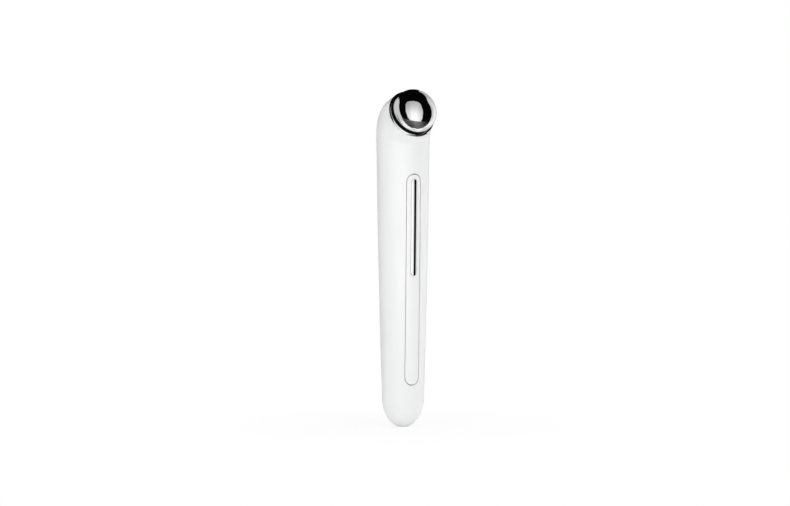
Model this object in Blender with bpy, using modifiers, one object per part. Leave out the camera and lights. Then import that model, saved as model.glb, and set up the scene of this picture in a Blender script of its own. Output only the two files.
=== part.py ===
"""Handheld eye massager: an upright wand with a tilted, polished dome head.

Metres, +Z up. The wand stands on the small flat of its lower end, the flat's centre is
the origin, and the key panel faces -Y.
"""
import math

import bmesh
import bpy
from mathutils import Matrix, Vector

# Fits
SEAT = 0.0003  # gap between two pieces that rest on each other
PIN_PLAY = 0.0001  # radial play of a pin or shaft in its bore
OVERRUN = 0.003  # how far every cut runs past what it cuts
EMBED = 0.0004  # how deep a rib or boss starts inside the wall that it grows from
MERGE_DISTANCE = 0.000001  # corners closer than this are one

# Outer form of the wand
BODY_WIDTH_TOP = 0.0245
BODY_DEPTH_TOP = 0.0203
BODY_WIDTH_LOW = 0.0195
BODY_DEPTH_LOW = 0.0162
TAPER_TOP_DROP = 0.010  # from the mouth's centre
TAPER_POWER = 1.5
END_HEIGHT = 0.0135
END_FLAT_CUT = 0.0005
NECK_START_DROP = 0.024  # from the mouth's centre
WALL = 0.0014
SEAM_Y = 0.0012
RING_POINTS = 36
END_ROWS = 5
SIDE_ROWS = 7
NECK_ROWS = 9

# Head opening, tilted up from the front
HEAD_TILT = math.radians(30)
MOUTH_HEIGHT = 0.140
MOUTH_REACH = 0.0079
MOUTH_RADIUS = 0.0108
MOUTH_DRAFT = math.radians(14)
FRONT_PULL_LOW = 0.012
REAR_PULL_LOW = 0.022
FRONT_PULL_MOUTH = 0.006
REAR_PULL_MOUTH = 0.014

# Key panel and its chrome bar
KEY_WIDTH = 0.0071
KEY_LOW_Z = 0.0188
KEY_HIGH_DROP = 0.0259  # from the mouth's centre
KEY_GAP = 0.0003
KEY_THICKNESS = 0.0023
KEY_LIP = 0.0006
KEY_LIP_RECESS = 0.0001
BAR_WIDTH = 0.0028
BAR_LENGTH = 0.0428
BAR_HIGH_DROP = 0.0034  # from the key's top
BAR_GAP = 0.0002
BAR_PROUD = 0.0003
BAR_EDGE = 0.0001
BAR_DEPTH = 0.0008

# Key hinge
HINGE_DROP = 0.0026  # from the key's top
HINGE_Y = -0.0057
HINGE_PIN_RADIUS = 0.0006
LUG_RADIUS = 0.0012
LUG_INNER_X = 0.0016
LUG_WIDTH = 0.0014
LUG_STEP = 0.0001
LUG_WEB_SHARE = 0.8
EAR_WIDTH = 0.0010
EAR_HALF_HEIGHT = 0.0012

# Main board and what sits on it
BOARD_FRONT_Y = -0.0040
BOARD_THICKNESS = 0.0008
BOARD_SIDE_STEP = 0.0007  # from the chassis spine's side
BOARD_LOW_Z = 0.022
BOARD_HIGH_DROP = 0.0055  # from the hinge
BOARD_CORNER = 0.001
SWITCH_Z = 0.045
SWITCH_SIZE = 0.0040
SWITCH_HEIGHT = 0.0013
SWITCH_FLOOR = 0.0002
PLUNGER_RADIUS = 0.0009
PLUNGER_LIFT = 0.0005
PLUNGER_PROUD = 0.0003
PIP_RADIUS = 0.0010
CONTROL_CHIP_SIZE = 0.0050
CONTROL_CHIP_HEIGHT = 0.0009
CONTROL_CHIP_SHARE = 0.69  # of the board's length
CHARGE_CHIP_SIZE = 0.0030
CHARGE_CHIP_HEIGHT = 0.0008
CHARGE_CHIP_Z = 0.034
COIL_SIZE = 0.0040
COIL_HEIGHT = 0.0012
COIL_SHARE = 0.476  # of the board's length

# Chassis
SPINE_THICKNESS = 0.0008
SPINE_LOW_Z = 0.0115
SPINE_HIGH_DROP = 0.016  # from the mouth's centre
SPINE_NECK_WIDTH = 0.0044
SPINE_NECK_HIGH_DROP = 0.003  # from the mouth's centre
SPINE_CORNER = 0.0045
RAIL_WIDTH = 0.0008
RAIL_DEPTH = 0.0050
STOP_THICKNESS = 0.0012
STOP_OPEN_WIDTH = 0.0052
STOP_DEPTH = 0.0042
WINDOW_MARGIN = 0.0035
CHEEK_WIDTH = 0.0010
CHEEK_DEPTH = 0.0056
CHEEK_END = 0.0005
LEDGE_THICKNESS = 0.0012
LEDGE_DEPTH = 0.0031
SHELF_THICKNESS = 0.0012
SHELF_WIDTH = 0.0092
SHELF_STEP = 0.0001  # from the charging board's rear edge
SOCKET_SLOT_WIDTH = 0.0060
SOCKET_SLOT_HEIGHT = 0.0026
PLATFORM_RADIUS = 0.0065
PLATFORM_THICKNESS = 0.0012

# Screws
SCREW_RADIUS = 0.0007
SCREW_HEAD_RADIUS = 0.0013
SCREW_HEAD_HEIGHT = 0.0006
SCREW_RECESS_RADIUS = 0.0006
SCREW_RECESS_DEPTH = 0.0003
SCREW_CROWN_SHARE = 0.8
SCREW_SHOULDER_SHARE = 0.6
SCREW_TIP_SHARE = 0.5
BOSS_RADIUS = 0.0020
CHASSIS_SCREW_LENGTH = 0.0045
CHASSIS_SCREW_LOW_Z = 0.0145
CHASSIS_SCREW_HIGH_DROP = 0.0214  # from the mouth's centre
BOARD_SCREW_LENGTH = 0.0019
BOARD_SCREW_LOW_Z = 0.027
BOARD_SCREW_HIGH_DROP = 0.0040  # from the board's top
HEAD_SCREW_LENGTH = 0.0042
HEAD_SCREW_X = 0.0040

# Battery cell
CELL_REAR_ROOM = 0.00069  # to the shell at the cell's lower end
CELL_HIGH_DROP = 0.012  # from the motor
CELL_LOW_Z = 0.050
CELL_EDGE = 0.0004
CELL_NUB_RADIUS = 0.0020
CELL_NUB_HEIGHT = 0.0006
PAD_WIDTH = 0.0040
PAD_REAR_ROOM = 0.00025  # to the shell at the pad's lower end
PAD_LENGTH = 0.014
PAD_HIGH_DROP = 0.0020  # from the cell's top

# Vibration motor
MOTOR_RADIUS = 0.0030
MOTOR_LENGTH = 0.012
MOTOR_LOW_DROP = 0.034  # from the mouth's centre
MOTOR_EDGE = 0.0003
BOOT_WALL = 0.0010
BOOT_LENGTH = 0.011
BOOT_DROP = 0.0005
SHAFT_RADIUS = 0.0005
SHAFT_LENGTH = 0.0090
SHAFT_BORE_DEPTH = 0.0022
WEIGHT_RADIUS = 0.0026
WEIGHT_LENGTH = 0.0050
WEIGHT_HUB_RADIUS = 0.0013
WEIGHT_HUB_STEP = 0.0002
WEIGHT_LIFT = 0.0014
MOTOR_RIB_WIDTH = 0.0020

# Charging socket and its board
SOCKET_WIDTH = 0.00894
SOCKET_HEIGHT = 0.00326
SOCKET_LENGTH = 0.0068
SOCKET_SKIN = 0.0003
SOCKET_Z = 0.0240
SOCKET_MOUTH_INSET = 0.00118  # from the rear of the wand
SOCKET_CORE_LENGTH = 0.0014
TONGUE_WIDTH = 0.0067
TONGUE_THICKNESS = 0.0007
TONGUE_LENGTH = 0.0045
CHARGE_BOARD_WIDTH = 0.0098
CHARGE_BOARD_STEP = 0.0023  # from the socket's mouth
CHARGE_BOARD_THICKNESS = 0.0008

# Head pieces, heights along the head axis from the mouth plane
BASE_RING_RADIUS = 0.0107
BASE_RING_HEIGHT = 0.0006
BASE_RING_EDGE = 0.00025
RING_EDGE_SHARE = 0.3
SEAL_RADIUS = 0.0098
SEAL_HEIGHT = 0.0009
COLLAR_RADIUS = 0.0099
COLLAR_LIP_THICKNESS = 0.0004
COLLAR_THROAT_RADIUS = 0.00845
SLEEVE_DROP = 0.0020
DOME_RADIUS = 0.01005
DOME_HEIGHT = 0.0078
DOME_FOOT_HEIGHT = 0.0003  # of its straight flank
DOME_CROWN = 0.0012
SKIRT_RADIUS = 0.0081
SKIRT_WALL = 0.0008
HOLDER_THICKNESS = 0.0015
PEDESTAL_WALL = 0.0010
PEDESTAL_HEIGHT = 0.0049
HOLDER_BOSS_RADIUS = 0.0018
HOLDER_BOSS_HEIGHT = 0.0016
HEATER_THICKNESS = 0.0005
THERMISTOR_RADIUS = 0.0008
LEAD_HOLE_RADIUS = 0.0014
LEAD_HOLE_OFFSET = 0.0030

# Leads
LEAD_RADIUS = 0.00035
LEAD_PITCH = 0.0012
LEAD_LOOP = 0.0020
MOTOR_LEAD_HOLE_RADIUS = 0.0015
MOTOR_LEAD_HOLE_X = -0.0032
MOTOR_LEAD_HOLE_DROP = 0.0050  # from the motor
HEATER_LEAD_SIDE_X = 0.0038
HEATER_LEAD_NARROW_SHARE = 0.9
HEATER_LEAD_END_DROP = 0.0025  # from the board's top
LEAD_STEPS = 9

# Turned pieces
SHOWN_STEPS = 40
INNER_STEPS = 24
SMALL_STEPS = 12
PIN_STEPS = 16
HUB_STEPS = 20
LIP_STEPS = 7

# Heights that follow from the mouth's
taper_top_z = MOUTH_HEIGHT - TAPER_TOP_DROP
neck_start_z = MOUTH_HEIGHT - NECK_START_DROP
key_high_z = MOUTH_HEIGHT - KEY_HIGH_DROP
bar_high_z = key_high_z - BAR_HIGH_DROP
bar_low_z = bar_high_z - BAR_LENGTH
hinge_z = key_high_z - HINGE_DROP
board_high_z = hinge_z - BOARD_HIGH_DROP
board_length = board_high_z - BOARD_LOW_Z
control_chip_z = BOARD_LOW_Z + board_length * CONTROL_CHIP_SHARE
coil_z = BOARD_LOW_Z + board_length * COIL_SHARE
board_screw_high_z = board_high_z - BOARD_SCREW_HIGH_DROP
spine_high_z = MOUTH_HEIGHT - SPINE_HIGH_DROP
spine_neck_high_z = MOUTH_HEIGHT - SPINE_NECK_HIGH_DROP
chassis_screw_high_z = MOUTH_HEIGHT - CHASSIS_SCREW_HIGH_DROP
motor_low_z = MOUTH_HEIGHT - MOTOR_LOW_DROP
motor_lead_hole_z = motor_low_z - MOTOR_LEAD_HOLE_DROP
heater_lead_end_z = board_high_z - HEATER_LEAD_END_DROP
cell_high_z = motor_low_z - CELL_HIGH_DROP
cell_length = cell_high_z - CELL_LOW_Z


# Clean start

for old in list(bpy.data.objects):
    bpy.data.objects.remove(old, do_unlink=True)

model = bpy.data.collections.new("eye_massager")
cutters = bpy.data.collections.new("cutters")
bpy.context.scene.collection.children.link(model)
bpy.context.scene.collection.children.link(cutters)


# Materials

def make_material(name, colour, roughness, metallic=0.0):
    material = bpy.data.materials.new(name)
    material.use_nodes = True
    shader = material.node_tree.nodes["Principled BSDF"]
    shader.inputs["Base Color"].default_value = (*colour, 1.0)
    shader.inputs["Roughness"].default_value = roughness
    shader.inputs["Metallic"].default_value = metallic
    material.diffuse_color = (*colour, 1.0)
    return material


gloss_white = make_material("gloss_white", (0.86, 0.86, 0.86), 0.18)
key_white = make_material("key_white", (0.88, 0.88, 0.88), 0.2)
bright_chrome = make_material("bright_chrome", (0.8, 0.8, 0.81), 0.05, 1.0)
trim_chrome = make_material("trim_chrome", (0.78, 0.78, 0.79), 0.08, 1.0)
black_rubber = make_material("black_rubber", (0.02, 0.02, 0.02), 0.6)
frame_plastic = make_material("frame_plastic", (0.25, 0.26, 0.27), 0.5)
holder_plastic = make_material("holder_plastic", (0.55, 0.5, 0.42), 0.5)
board_green = make_material("board_green", (0.03, 0.2, 0.08), 0.4)
chip_black = make_material("chip_black", (0.03, 0.03, 0.03), 0.45)
steel = make_material("steel", (0.55, 0.55, 0.56), 0.3, 1.0)
weight_metal = make_material("weight_metal", (0.5, 0.45, 0.32), 0.35, 1.0)
cell_wrap = make_material("cell_wrap", (0.1, 0.25, 0.5), 0.35)
foam_grey = make_material("foam_grey", (0.2, 0.2, 0.2), 0.9)
heater_film = make_material("heater_film", (0.6, 0.35, 0.1), 0.45)
lead_red = make_material("lead_red", (0.6, 0.03, 0.03), 0.45)
lead_black = make_material("lead_black", (0.03, 0.03, 0.03), 0.45)


# Helpers

def put(obj, material=None):
    """Link a piece to the model, or a cutter to the cutters."""
    if material is None:
        cutters.objects.link(obj)
        obj.hide_render = True
        obj.display_type = 'WIRE'
    else:
        model.objects.link(obj)
        obj.data.materials.append(material)
    return obj


def smooth(obj, angle=math.radians(35)):
    obj.data.shade_smooth()
    obj.data.set_sharp_from_angle(angle=angle)


def mesh_object(name, mesh_builder, material=None):
    mesh = bpy.data.meshes.new(name)
    bm = bmesh.new()
    mesh_builder(bm)
    bmesh.ops.recalc_face_normals(bm, faces=bm.faces)
    bm.to_mesh(mesh)
    bm.free()
    return put(bpy.data.objects.new(name, mesh), material)


def box(name, low, high, material=None):
    low = Vector(low)
    high = Vector(high)
    size = high - low
    centre = (low + high) / 2

    def build(bm):
        bmesh.ops.create_cube(bm, size=1.0)
        bmesh.ops.scale(bm, vec=size, verts=bm.verts)
        bmesh.ops.translate(bm, vec=centre, verts=bm.verts)

    return mesh_object(name, build, material)


def rod(name, start, end, radius, steps=INNER_STEPS, material=None):
    """A cylinder between two points."""
    start = Vector(start)
    end = Vector(end)
    run = end - start
    turn = run.to_track_quat('Z', 'Y').to_matrix().to_4x4()

    def build(bm):
        bmesh.ops.create_cone(bm, cap_ends=True, segments=steps, radius1=radius,
                              radius2=radius, depth=run.length)
        place = Matrix.Translation((start + end) / 2) @ turn
        bmesh.ops.transform(bm, matrix=place, verts=bm.verts)

    obj = mesh_object(name, build, material)
    smooth(obj)
    return obj


def turned(name, profile, material=None, steps=SHOWN_STEPS):
    """A turned piece: the profile (radius, height) runs down its outer side, then back up."""
    mesh = bpy.data.meshes.new(name)
    closed = profile[0][0] > 0 or profile[-1][0] > 0
    edges = [(i, i + 1) for i in range(len(profile) - 1)]
    if closed:
        edges.append((len(profile) - 1, 0))
    mesh.from_pydata([(r, 0, h) for r, h in profile], edges, [])
    obj = put(bpy.data.objects.new(name, mesh), material)
    screw = obj.modifiers.new("turn", 'SCREW')
    screw.axis = 'Z'
    screw.steps = steps
    screw.render_steps = steps
    screw.use_merge_vertices = True
    screw.merge_threshold = MERGE_DISTANCE
    screw.use_smooth_shade = True
    return obj


def flat_solid(name, outlines, y_low, y_high, material=None):
    """A flat outline in X and Z, with any holes, extruded along Y."""
    curve = bpy.data.curves.new(name, 'CURVE')
    curve.dimensions = '2D'
    curve.fill_mode = 'BOTH'
    curve.extrude = (y_high - y_low) / 2
    for outline in outlines:
        spline = curve.splines.new('POLY')
        spline.points.add(len(outline) - 1)
        for point, (x, z) in zip(spline.points, outline):
            point.co = (x, z, 0, 1)
        spline.use_cyclic_u = True
    flat = bpy.data.objects.new(name, curve)
    flat.rotation_euler = (math.radians(90), 0, 0)
    flat.location = (0, (y_low + y_high) / 2, 0)
    bpy.context.scene.collection.objects.link(flat)
    return to_mesh(flat, name, material)


def tube(name, points, radius, material=None):
    """A lead: a smooth curve through a few route points, read as a poly spline."""
    route = [Vector(p) for p in points]
    route = [route[0]] + route + [route[-1]]
    spots = []
    for a, b, c, d in zip(route, route[1:], route[2:], route[3:]):
        steps = max(2, LEAD_STEPS // (len(points) - 1))
        for i in range(steps):
            t = i / steps
            spots.append(0.5 * (2 * b + (c - a) * t + (2 * a - 5 * b + 4 * c - d) * t * t
                                + (3 * b - a - 3 * c + d) * t ** 3))
    spots.append(route[-1])
    curve = bpy.data.curves.new(name, 'CURVE')
    curve.dimensions = '3D'
    curve.bevel_depth = radius
    curve.bevel_resolution = 1
    curve.use_fill_caps = True
    spline = curve.splines.new('POLY')
    spline.points.add(len(spots) - 1)
    for point, spot in zip(spline.points, spots):
        point.co = (*spot, 1)
    line = bpy.data.objects.new(name, curve)
    bpy.context.scene.collection.objects.link(line)
    return to_mesh(line, name, material)


def to_mesh(source, name, material):
    """Turn a curve object into a closed mesh object with the same place."""
    bpy.context.view_layer.update()
    depsgraph = bpy.context.evaluated_depsgraph_get()
    mesh = bpy.data.meshes.new_from_object(source.evaluated_get(depsgraph))
    place = source.matrix_world.copy()
    bpy.data.objects.remove(source, do_unlink=True)
    bm = bmesh.new()
    bm.from_mesh(mesh)
    bmesh.ops.remove_doubles(bm, verts=bm.verts, dist=MERGE_DISTANCE)
    bmesh.ops.recalc_face_normals(bm, faces=bm.faces)
    bm.to_mesh(mesh)
    bm.free()
    mesh.materials.clear()
    obj = bpy.data.objects.new(name, mesh)
    obj.matrix_world = place
    put(obj, material)
    smooth(obj)
    return obj


def stadium(half_width, z_low, z_high, steps=8):
    """Outline with two straight sides and round ends."""
    points = []
    for i in range(steps + 1):
        angle = math.pi * i / steps
        points.append((half_width * math.cos(angle), z_high - half_width
                       + half_width * math.sin(angle)))
    for i in range(steps + 1):
        angle = math.pi + math.pi * i / steps
        points.append((half_width * math.cos(angle), z_low + half_width
                       + half_width * math.sin(angle)))
    return points


def rounded_box(half_width, z_low, z_high, corner, steps=3):
    points = []
    for sx, cz, start in ((1, z_high - corner, 0), (-1, z_high - corner, 1),
                          (-1, z_low + corner, 2), (1, z_low + corner, 3)):
        for i in range(steps + 1):
            angle = math.pi / 2 * (start + i / steps)
            points.append((sx * (half_width - corner) + corner * math.cos(angle),
                           cz + corner * math.sin(angle)))
    return points


def rectangle(half_width, z_low, z_high):
    return [(half_width, z_high), (-half_width, z_high), (-half_width, z_low),
            (half_width, z_low)]


def circle(x, z, radius, steps=SMALL_STEPS):
    return [(x + radius * math.cos(math.tau * i / steps),
             z + radius * math.sin(math.tau * i / steps)) for i in range(steps)]


def boolean(obj, kind, other):
    modifier = obj.modifiers.new(kind.lower() + "_" + other.name, 'BOOLEAN')
    modifier.operation = kind
    modifier.object = other
    modifier.solver = 'EXACT'


def cut(obj, *others):
    for other in others:
        boolean(obj, 'DIFFERENCE', other)


def join(obj, *others):
    for other in others:
        boolean(obj, 'UNION', other)


def keep(obj, *others):
    for other in others:
        boolean(obj, 'INTERSECT', other)


def move_origin(obj, point):
    """Put a mesh object's origin at a point and leave its shape where it is."""
    shift = Vector(point) - obj.location
    obj.data.transform(Matrix.Translation(-shift))
    obj.location = Vector(point)


# Outer form

HEAD_AXIS = Vector((0, -math.cos(HEAD_TILT), math.sin(HEAD_TILT)))
HEAD_DOWN = Vector((0, -math.sin(HEAD_TILT), -math.cos(HEAD_TILT)))
MOUTH_CENTRE = Vector((0, -MOUTH_REACH, MOUTH_HEIGHT))
END_CENTRE_Z = END_HEIGHT - END_FLAT_CUT


def half_width_at(z):
    share = max(0, (taper_top_z - z) / (taper_top_z - END_CENTRE_Z)) ** TAPER_POWER
    return (BODY_WIDTH_TOP - (BODY_WIDTH_TOP - BODY_WIDTH_LOW) * share) / 2


def half_depth_at(z):
    share = max(0, (taper_top_z - z) / (taper_top_z - END_CENTRE_Z)) ** TAPER_POWER
    return (BODY_DEPTH_TOP - (BODY_DEPTH_TOP - BODY_DEPTH_LOW) * share) / 2


def oval(half_width, half_depth, z):
    angles = [math.tau * i / RING_POINTS for i in range(RING_POINTS)]
    return [Vector((half_width * math.sin(a), -half_depth * math.cos(a), z)) for a in angles]


def skin_rings(inset, mouth_overrun):
    """Rings of the outer form moved inwards by the inset, from the lower end to the mouth."""
    rings = []
    height = END_HEIGHT - inset
    steepest = math.asin((END_CENTRE_Z - inset) / height)
    for row in range(END_ROWS):
        angle = steepest * (1 - row / END_ROWS)
        width = (half_width_at(END_CENTRE_Z) - inset) * math.cos(angle)
        depth = (half_depth_at(END_CENTRE_Z) - inset) * math.cos(angle)
        rings.append(oval(width, depth, END_CENTRE_Z - height * math.sin(angle)))
    for row in range(SIDE_ROWS + 1):
        z = END_CENTRE_Z + (neck_start_z - END_CENTRE_Z) * row / SIDE_ROWS
        rings.append(oval(half_width_at(z) - inset, half_depth_at(z) - inset, z))
    low = rings[-1]
    rise = neck_start_z - END_CENTRE_Z
    below = END_CENTRE_Z + rise * (1 - 1 / SIDE_ROWS)
    step = neck_start_z - below
    wide_slope = (half_width_at(neck_start_z) - half_width_at(below)) / step
    deep_slope = (half_depth_at(neck_start_z) - half_depth_at(below)) / step
    radius = MOUTH_RADIUS - inset
    centre = MOUTH_CENTRE - HEAD_AXIS * inset
    for row in range(1, NECK_ROWS + 1):
        t = row / NECK_ROWS
        ring = []
        for i, start in enumerate(low):
            angle = math.tau * i / RING_POINTS
            rear_share = (1 - math.cos(angle)) / 2
            pull_low = FRONT_PULL_LOW + (REAR_PULL_LOW - FRONT_PULL_LOW) * rear_share
            pull_mouth = FRONT_PULL_MOUTH + (REAR_PULL_MOUTH - FRONT_PULL_MOUTH) * rear_share
            spoke = Vector((1, 0, 0)) * math.sin(angle) + HEAD_DOWN * math.cos(angle)
            rising = Vector((wide_slope * math.sin(angle), -deep_slope * math.cos(angle), 1))
            arriving = HEAD_AXIS * math.cos(MOUTH_DRAFT) - spoke * math.sin(MOUTH_DRAFT)
            end = centre + spoke * radius
            one = start + rising * pull_low
            two = end - arriving * pull_mouth
            ring.append(start * (1 - t) ** 3 + one * (3 * (1 - t) ** 2 * t)
                        + two * (3 * (1 - t) * t * t) + end * t ** 3)
        rings.append(ring)
    if mouth_overrun:
        rings.append([p + HEAD_AXIS * (inset + mouth_overrun) for p in rings[-1]])
    return rings


def skin_solid(name, inset, material=None, mouth_overrun=0.0):
    """The outer form as a closed body: a loft from the oval wand to the tilted round mouth."""
    def build(bm):
        rows = [[bm.verts.new(p) for p in ring] for ring in skin_rings(inset, mouth_overrun)]
        for low, high in zip(rows, rows[1:]):
            for i in range(RING_POINTS):
                j = (i + 1) % RING_POINTS
                bm.faces.new((low[i], low[j], high[j], high[i]))
        bm.faces.new(list(reversed(rows[0])))
        bm.faces.new(rows[-1])
        sides = [face for face in bm.faces if len(face.verts) == 4]
        bmesh.ops.triangulate(bm, faces=sides)

    obj = mesh_object(name, build, material)
    smooth(obj, math.radians(30))
    return obj


# Shell halves

core_form = skin_solid("core_form", WALL, mouth_overrun=OVERRUN)
wide = BODY_WIDTH_TOP
rear_space = box("rear_space", (-wide, SEAM_Y - SEAT / 2, -OVERRUN),
                 (wide, wide, MOUTH_HEIGHT + wide))
front_space = box("front_space", (-wide, -wide, -OVERRUN),
                  (wide, SEAM_Y + SEAT / 2, MOUTH_HEIGHT + wide))

opening_half = KEY_WIDTH / 2 + KEY_GAP / 2
panel_half = KEY_WIDTH / 2 - KEY_GAP / 2
key_opening = flat_solid("key_opening", [stadium(opening_half, KEY_LOW_Z - KEY_GAP / 2,
                                                 key_high_z + KEY_GAP / 2)],
                         -BODY_DEPTH_TOP, BOARD_FRONT_Y)

board_back_y = BOARD_FRONT_Y + BOARD_THICKNESS
cell_back_y = half_depth_at(CELL_LOW_Z) - WALL - CELL_REAR_ROOM
cell_radius = (cell_back_y - board_back_y - SEAT) / 2
cell_y = cell_back_y - cell_radius
window_half = cell_radius + SEAT
spine_half = window_half + RAIL_WIDTH
spine_front_y = board_back_y + SEAT
spine_back_y = spine_front_y + SPINE_THICKNESS
screw_hole = SCREW_RADIUS + SEAT
chassis_screw_tip_y = spine_back_y + SEAT - CHASSIS_SCREW_LENGTH

front_shell = skin_solid("front_shell", 0.0, gloss_white)
cut(front_shell, core_form, rear_space, key_opening)
for label, z in (("low", CHASSIS_SCREW_LOW_Z), ("high", chassis_screw_high_z)):
    boss = rod("boss_" + label, (0, -half_depth_at(z) + WALL - EMBED, z),
               (0, spine_front_y - SEAT, z), BOSS_RADIUS)
    pilot = rod("pilot_" + label, (0, chassis_screw_tip_y - SEAT, z),
                (0, spine_front_y + OVERRUN, z), screw_hole, SMALL_STEPS)
    join(front_shell, boss)
    cut(front_shell, pilot)

motor_y = spine_back_y + SEAT + MOTOR_RADIUS + SEAT + BOOT_WALL
boot_low_z = motor_low_z - BOOT_DROP
boot_outer = MOTOR_RADIUS + SEAT + BOOT_WALL
boot_high_z = boot_low_z + BOOT_LENGTH
socket_half = SOCKET_WIDTH / 2
socket_mouth_y = half_depth_at(SOCKET_Z) - SOCKET_MOUTH_INSET
socket_low_z = SOCKET_Z - SOCKET_HEIGHT / 2


def socket_outline(grow):
    """The socket's outline, lying across the wand, grown by a margin."""
    upright = stadium(SOCKET_HEIGHT / 2 + grow, -socket_half - grow, socket_half + grow)
    return [(z, SOCKET_Z - x) for x, z in upright]


socket_opening = flat_solid("socket_opening", [socket_outline(SEAT)], SEAM_Y,
                            BODY_DEPTH_TOP)
motor_rib = box("motor_rib", (-MOTOR_RIB_WIDTH / 2, motor_y + boot_outer + SEAT, boot_low_z),
                (MOTOR_RIB_WIDTH / 2, half_depth_at(boot_low_z) - WALL + EMBED, boot_high_z))

rear_shell = skin_solid("rear_shell", 0.0, gloss_white)
cut(rear_shell, core_form, front_space, socket_opening)
join(rear_shell, motor_rib)


# Key panel, its lip, pip and hinge lugs

key_core = skin_solid("key_core", KEY_THICKNESS)
lip_outer = skin_solid("lip_outer", WALL + KEY_GAP)
lip_core = skin_solid("lip_core", KEY_THICKNESS - KEY_LIP_RECESS)
panel_outline = flat_solid("panel_outline", [stadium(panel_half, KEY_LOW_Z + KEY_GAP / 2,
                                                     key_high_z - KEY_GAP / 2)],
                           -BODY_DEPTH_TOP, BOARD_FRONT_Y)
lip_outline = flat_solid("lip_outline", [stadium(opening_half + KEY_LIP,
                                                 KEY_LOW_Z - KEY_GAP / 2 - KEY_LIP,
                                                 key_high_z + KEY_GAP / 2 + KEY_LIP, LIP_STEPS)],
                         -BODY_DEPTH_TOP, BOARD_FRONT_Y)
keep(lip_outer, lip_outline)
cut(lip_outer, lip_core)

switch_back_y = BOARD_FRONT_Y - SEAT
switch_front_y = switch_back_y - SWITCH_HEIGHT
plunger_front_y = switch_front_y - PLUNGER_PROUD
plunger_back_y = switch_back_y - SWITCH_FLOOR - PLUNGER_LIFT

pip = rod("pip", (0, -half_depth_at(SWITCH_Z) + KEY_THICKNESS - EMBED, SWITCH_Z),
          (0, plunger_front_y - SEAT, SWITCH_Z), PIP_RADIUS, SMALL_STEPS)

key_panel = skin_solid("key_panel", 0.0, key_white)
keep(key_panel, panel_outline)
cut(key_panel, key_core)
join(key_panel, lip_outer, pip)
panel_back_y = -half_depth_at(hinge_z) + KEY_THICKNESS - EMBED
for side, label in ((-1, "left"), (1, "right")):
    inner = side * LUG_INNER_X
    outer = side * (LUG_INNER_X + LUG_WIDTH)
    barrel = rod("barrel_" + label, (inner, HINGE_Y, hinge_z), (outer, HINGE_Y, hinge_z),
                 LUG_RADIUS, PIN_STEPS)
    web = box("web_" + label, (min(inner, outer) + LUG_STEP, panel_back_y,
                               hinge_z - LUG_RADIUS * LUG_WEB_SHARE),
              (max(inner, outer) - LUG_STEP, HINGE_Y - LUG_STEP,
               hinge_z + LUG_RADIUS * LUG_WEB_SHARE))
    join(key_panel, web, barrel)
ear_inner_x = opening_half + KEY_LIP + SEAT
ear_outer_x = ear_inner_x + EAR_WIDTH
pin_bore = rod("pin_bore", (-ear_outer_x - OVERRUN, HINGE_Y, hinge_z),
               (ear_outer_x + OVERRUN, HINGE_Y, hinge_z), HINGE_PIN_RADIUS + PIN_PLAY, PIN_STEPS)
cut(key_panel, pin_bore)

rod("key_hinge_pin", (-ear_outer_x, HINGE_Y, hinge_z),
    (ear_outer_x, HINGE_Y, hinge_z), HINGE_PIN_RADIUS, PIN_STEPS, steel)


# Chrome bar in the key

def bar_solid(name, half_width, z_low, z_high, rise, edge, depth, material=None):
    """A long bar with round ends that follows the panel's front line."""
    quarter = [math.radians(a) for a in (20, 45, 70, 90)]
    spots = [(z_low + half_width * (1 - math.cos(a)), math.sin(a)) for a in quarter]
    middle = (z_low + z_high) / 2
    spots.append((middle, 1.0))
    spots += [(z_high - half_width * (1 - math.cos(a)), math.sin(a)) for a in reversed(quarter)]

    def build(bm):
        rows = []
        for z, share in spots:
            face = -half_depth_at(z)
            half = half_width * share
            ring = [(half, face + depth), (half, face + edge)]
            for i in range(1, 6):
                angle = math.pi * i / 6
                ring.append((half * math.cos(angle),
                             face + edge - (rise * share + edge) * math.sin(angle)))
            ring += [(-half, face + edge), (-half, face + depth)]
            rows.append([bm.verts.new((x, y, z)) for x, y in ring])
        count = len(rows[0])
        for low, high in zip(rows, rows[1:]):
            for i in range(count):
                j = (i + 1) % count
                bm.faces.new((low[i], low[j], high[j], high[i]))
        bm.faces.new(rows[0])
        bm.faces.new(rows[-1])

    obj = mesh_object(name, build, material)
    smooth(obj)
    return obj


bar_recess = bar_solid("bar_recess", BAR_WIDTH / 2, bar_low_z, bar_high_z, OVERRUN,
                       -BAR_PROUD, BAR_DEPTH + SEAT)
cut(key_panel, bar_recess)
key_bar = bar_solid("key_bar", BAR_WIDTH / 2 - BAR_GAP, bar_low_z + BAR_GAP,
                    bar_high_z - BAR_GAP, BAR_PROUD, BAR_EDGE, BAR_DEPTH, trim_chrome)

hinge_line = (0, HINGE_Y, hinge_z)
move_origin(key_panel, hinge_line)
move_origin(key_bar, hinge_line)


# Main board, switch and chips

board_half = spine_half - BOARD_SIDE_STEP
flat_solid("main_board", [
    rounded_box(board_half, BOARD_LOW_Z, board_high_z, BOARD_CORNER),
    circle(0, BOARD_SCREW_LOW_Z, screw_hole),
    circle(0, board_screw_high_z, screw_hole)], BOARD_FRONT_Y, board_back_y, board_green)


def on_board(name, size, height, z, material):
    return box(name, (-size / 2, BOARD_FRONT_Y - SEAT - height, z - size / 2),
               (size / 2, BOARD_FRONT_Y - SEAT, z + size / 2), material)


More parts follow.
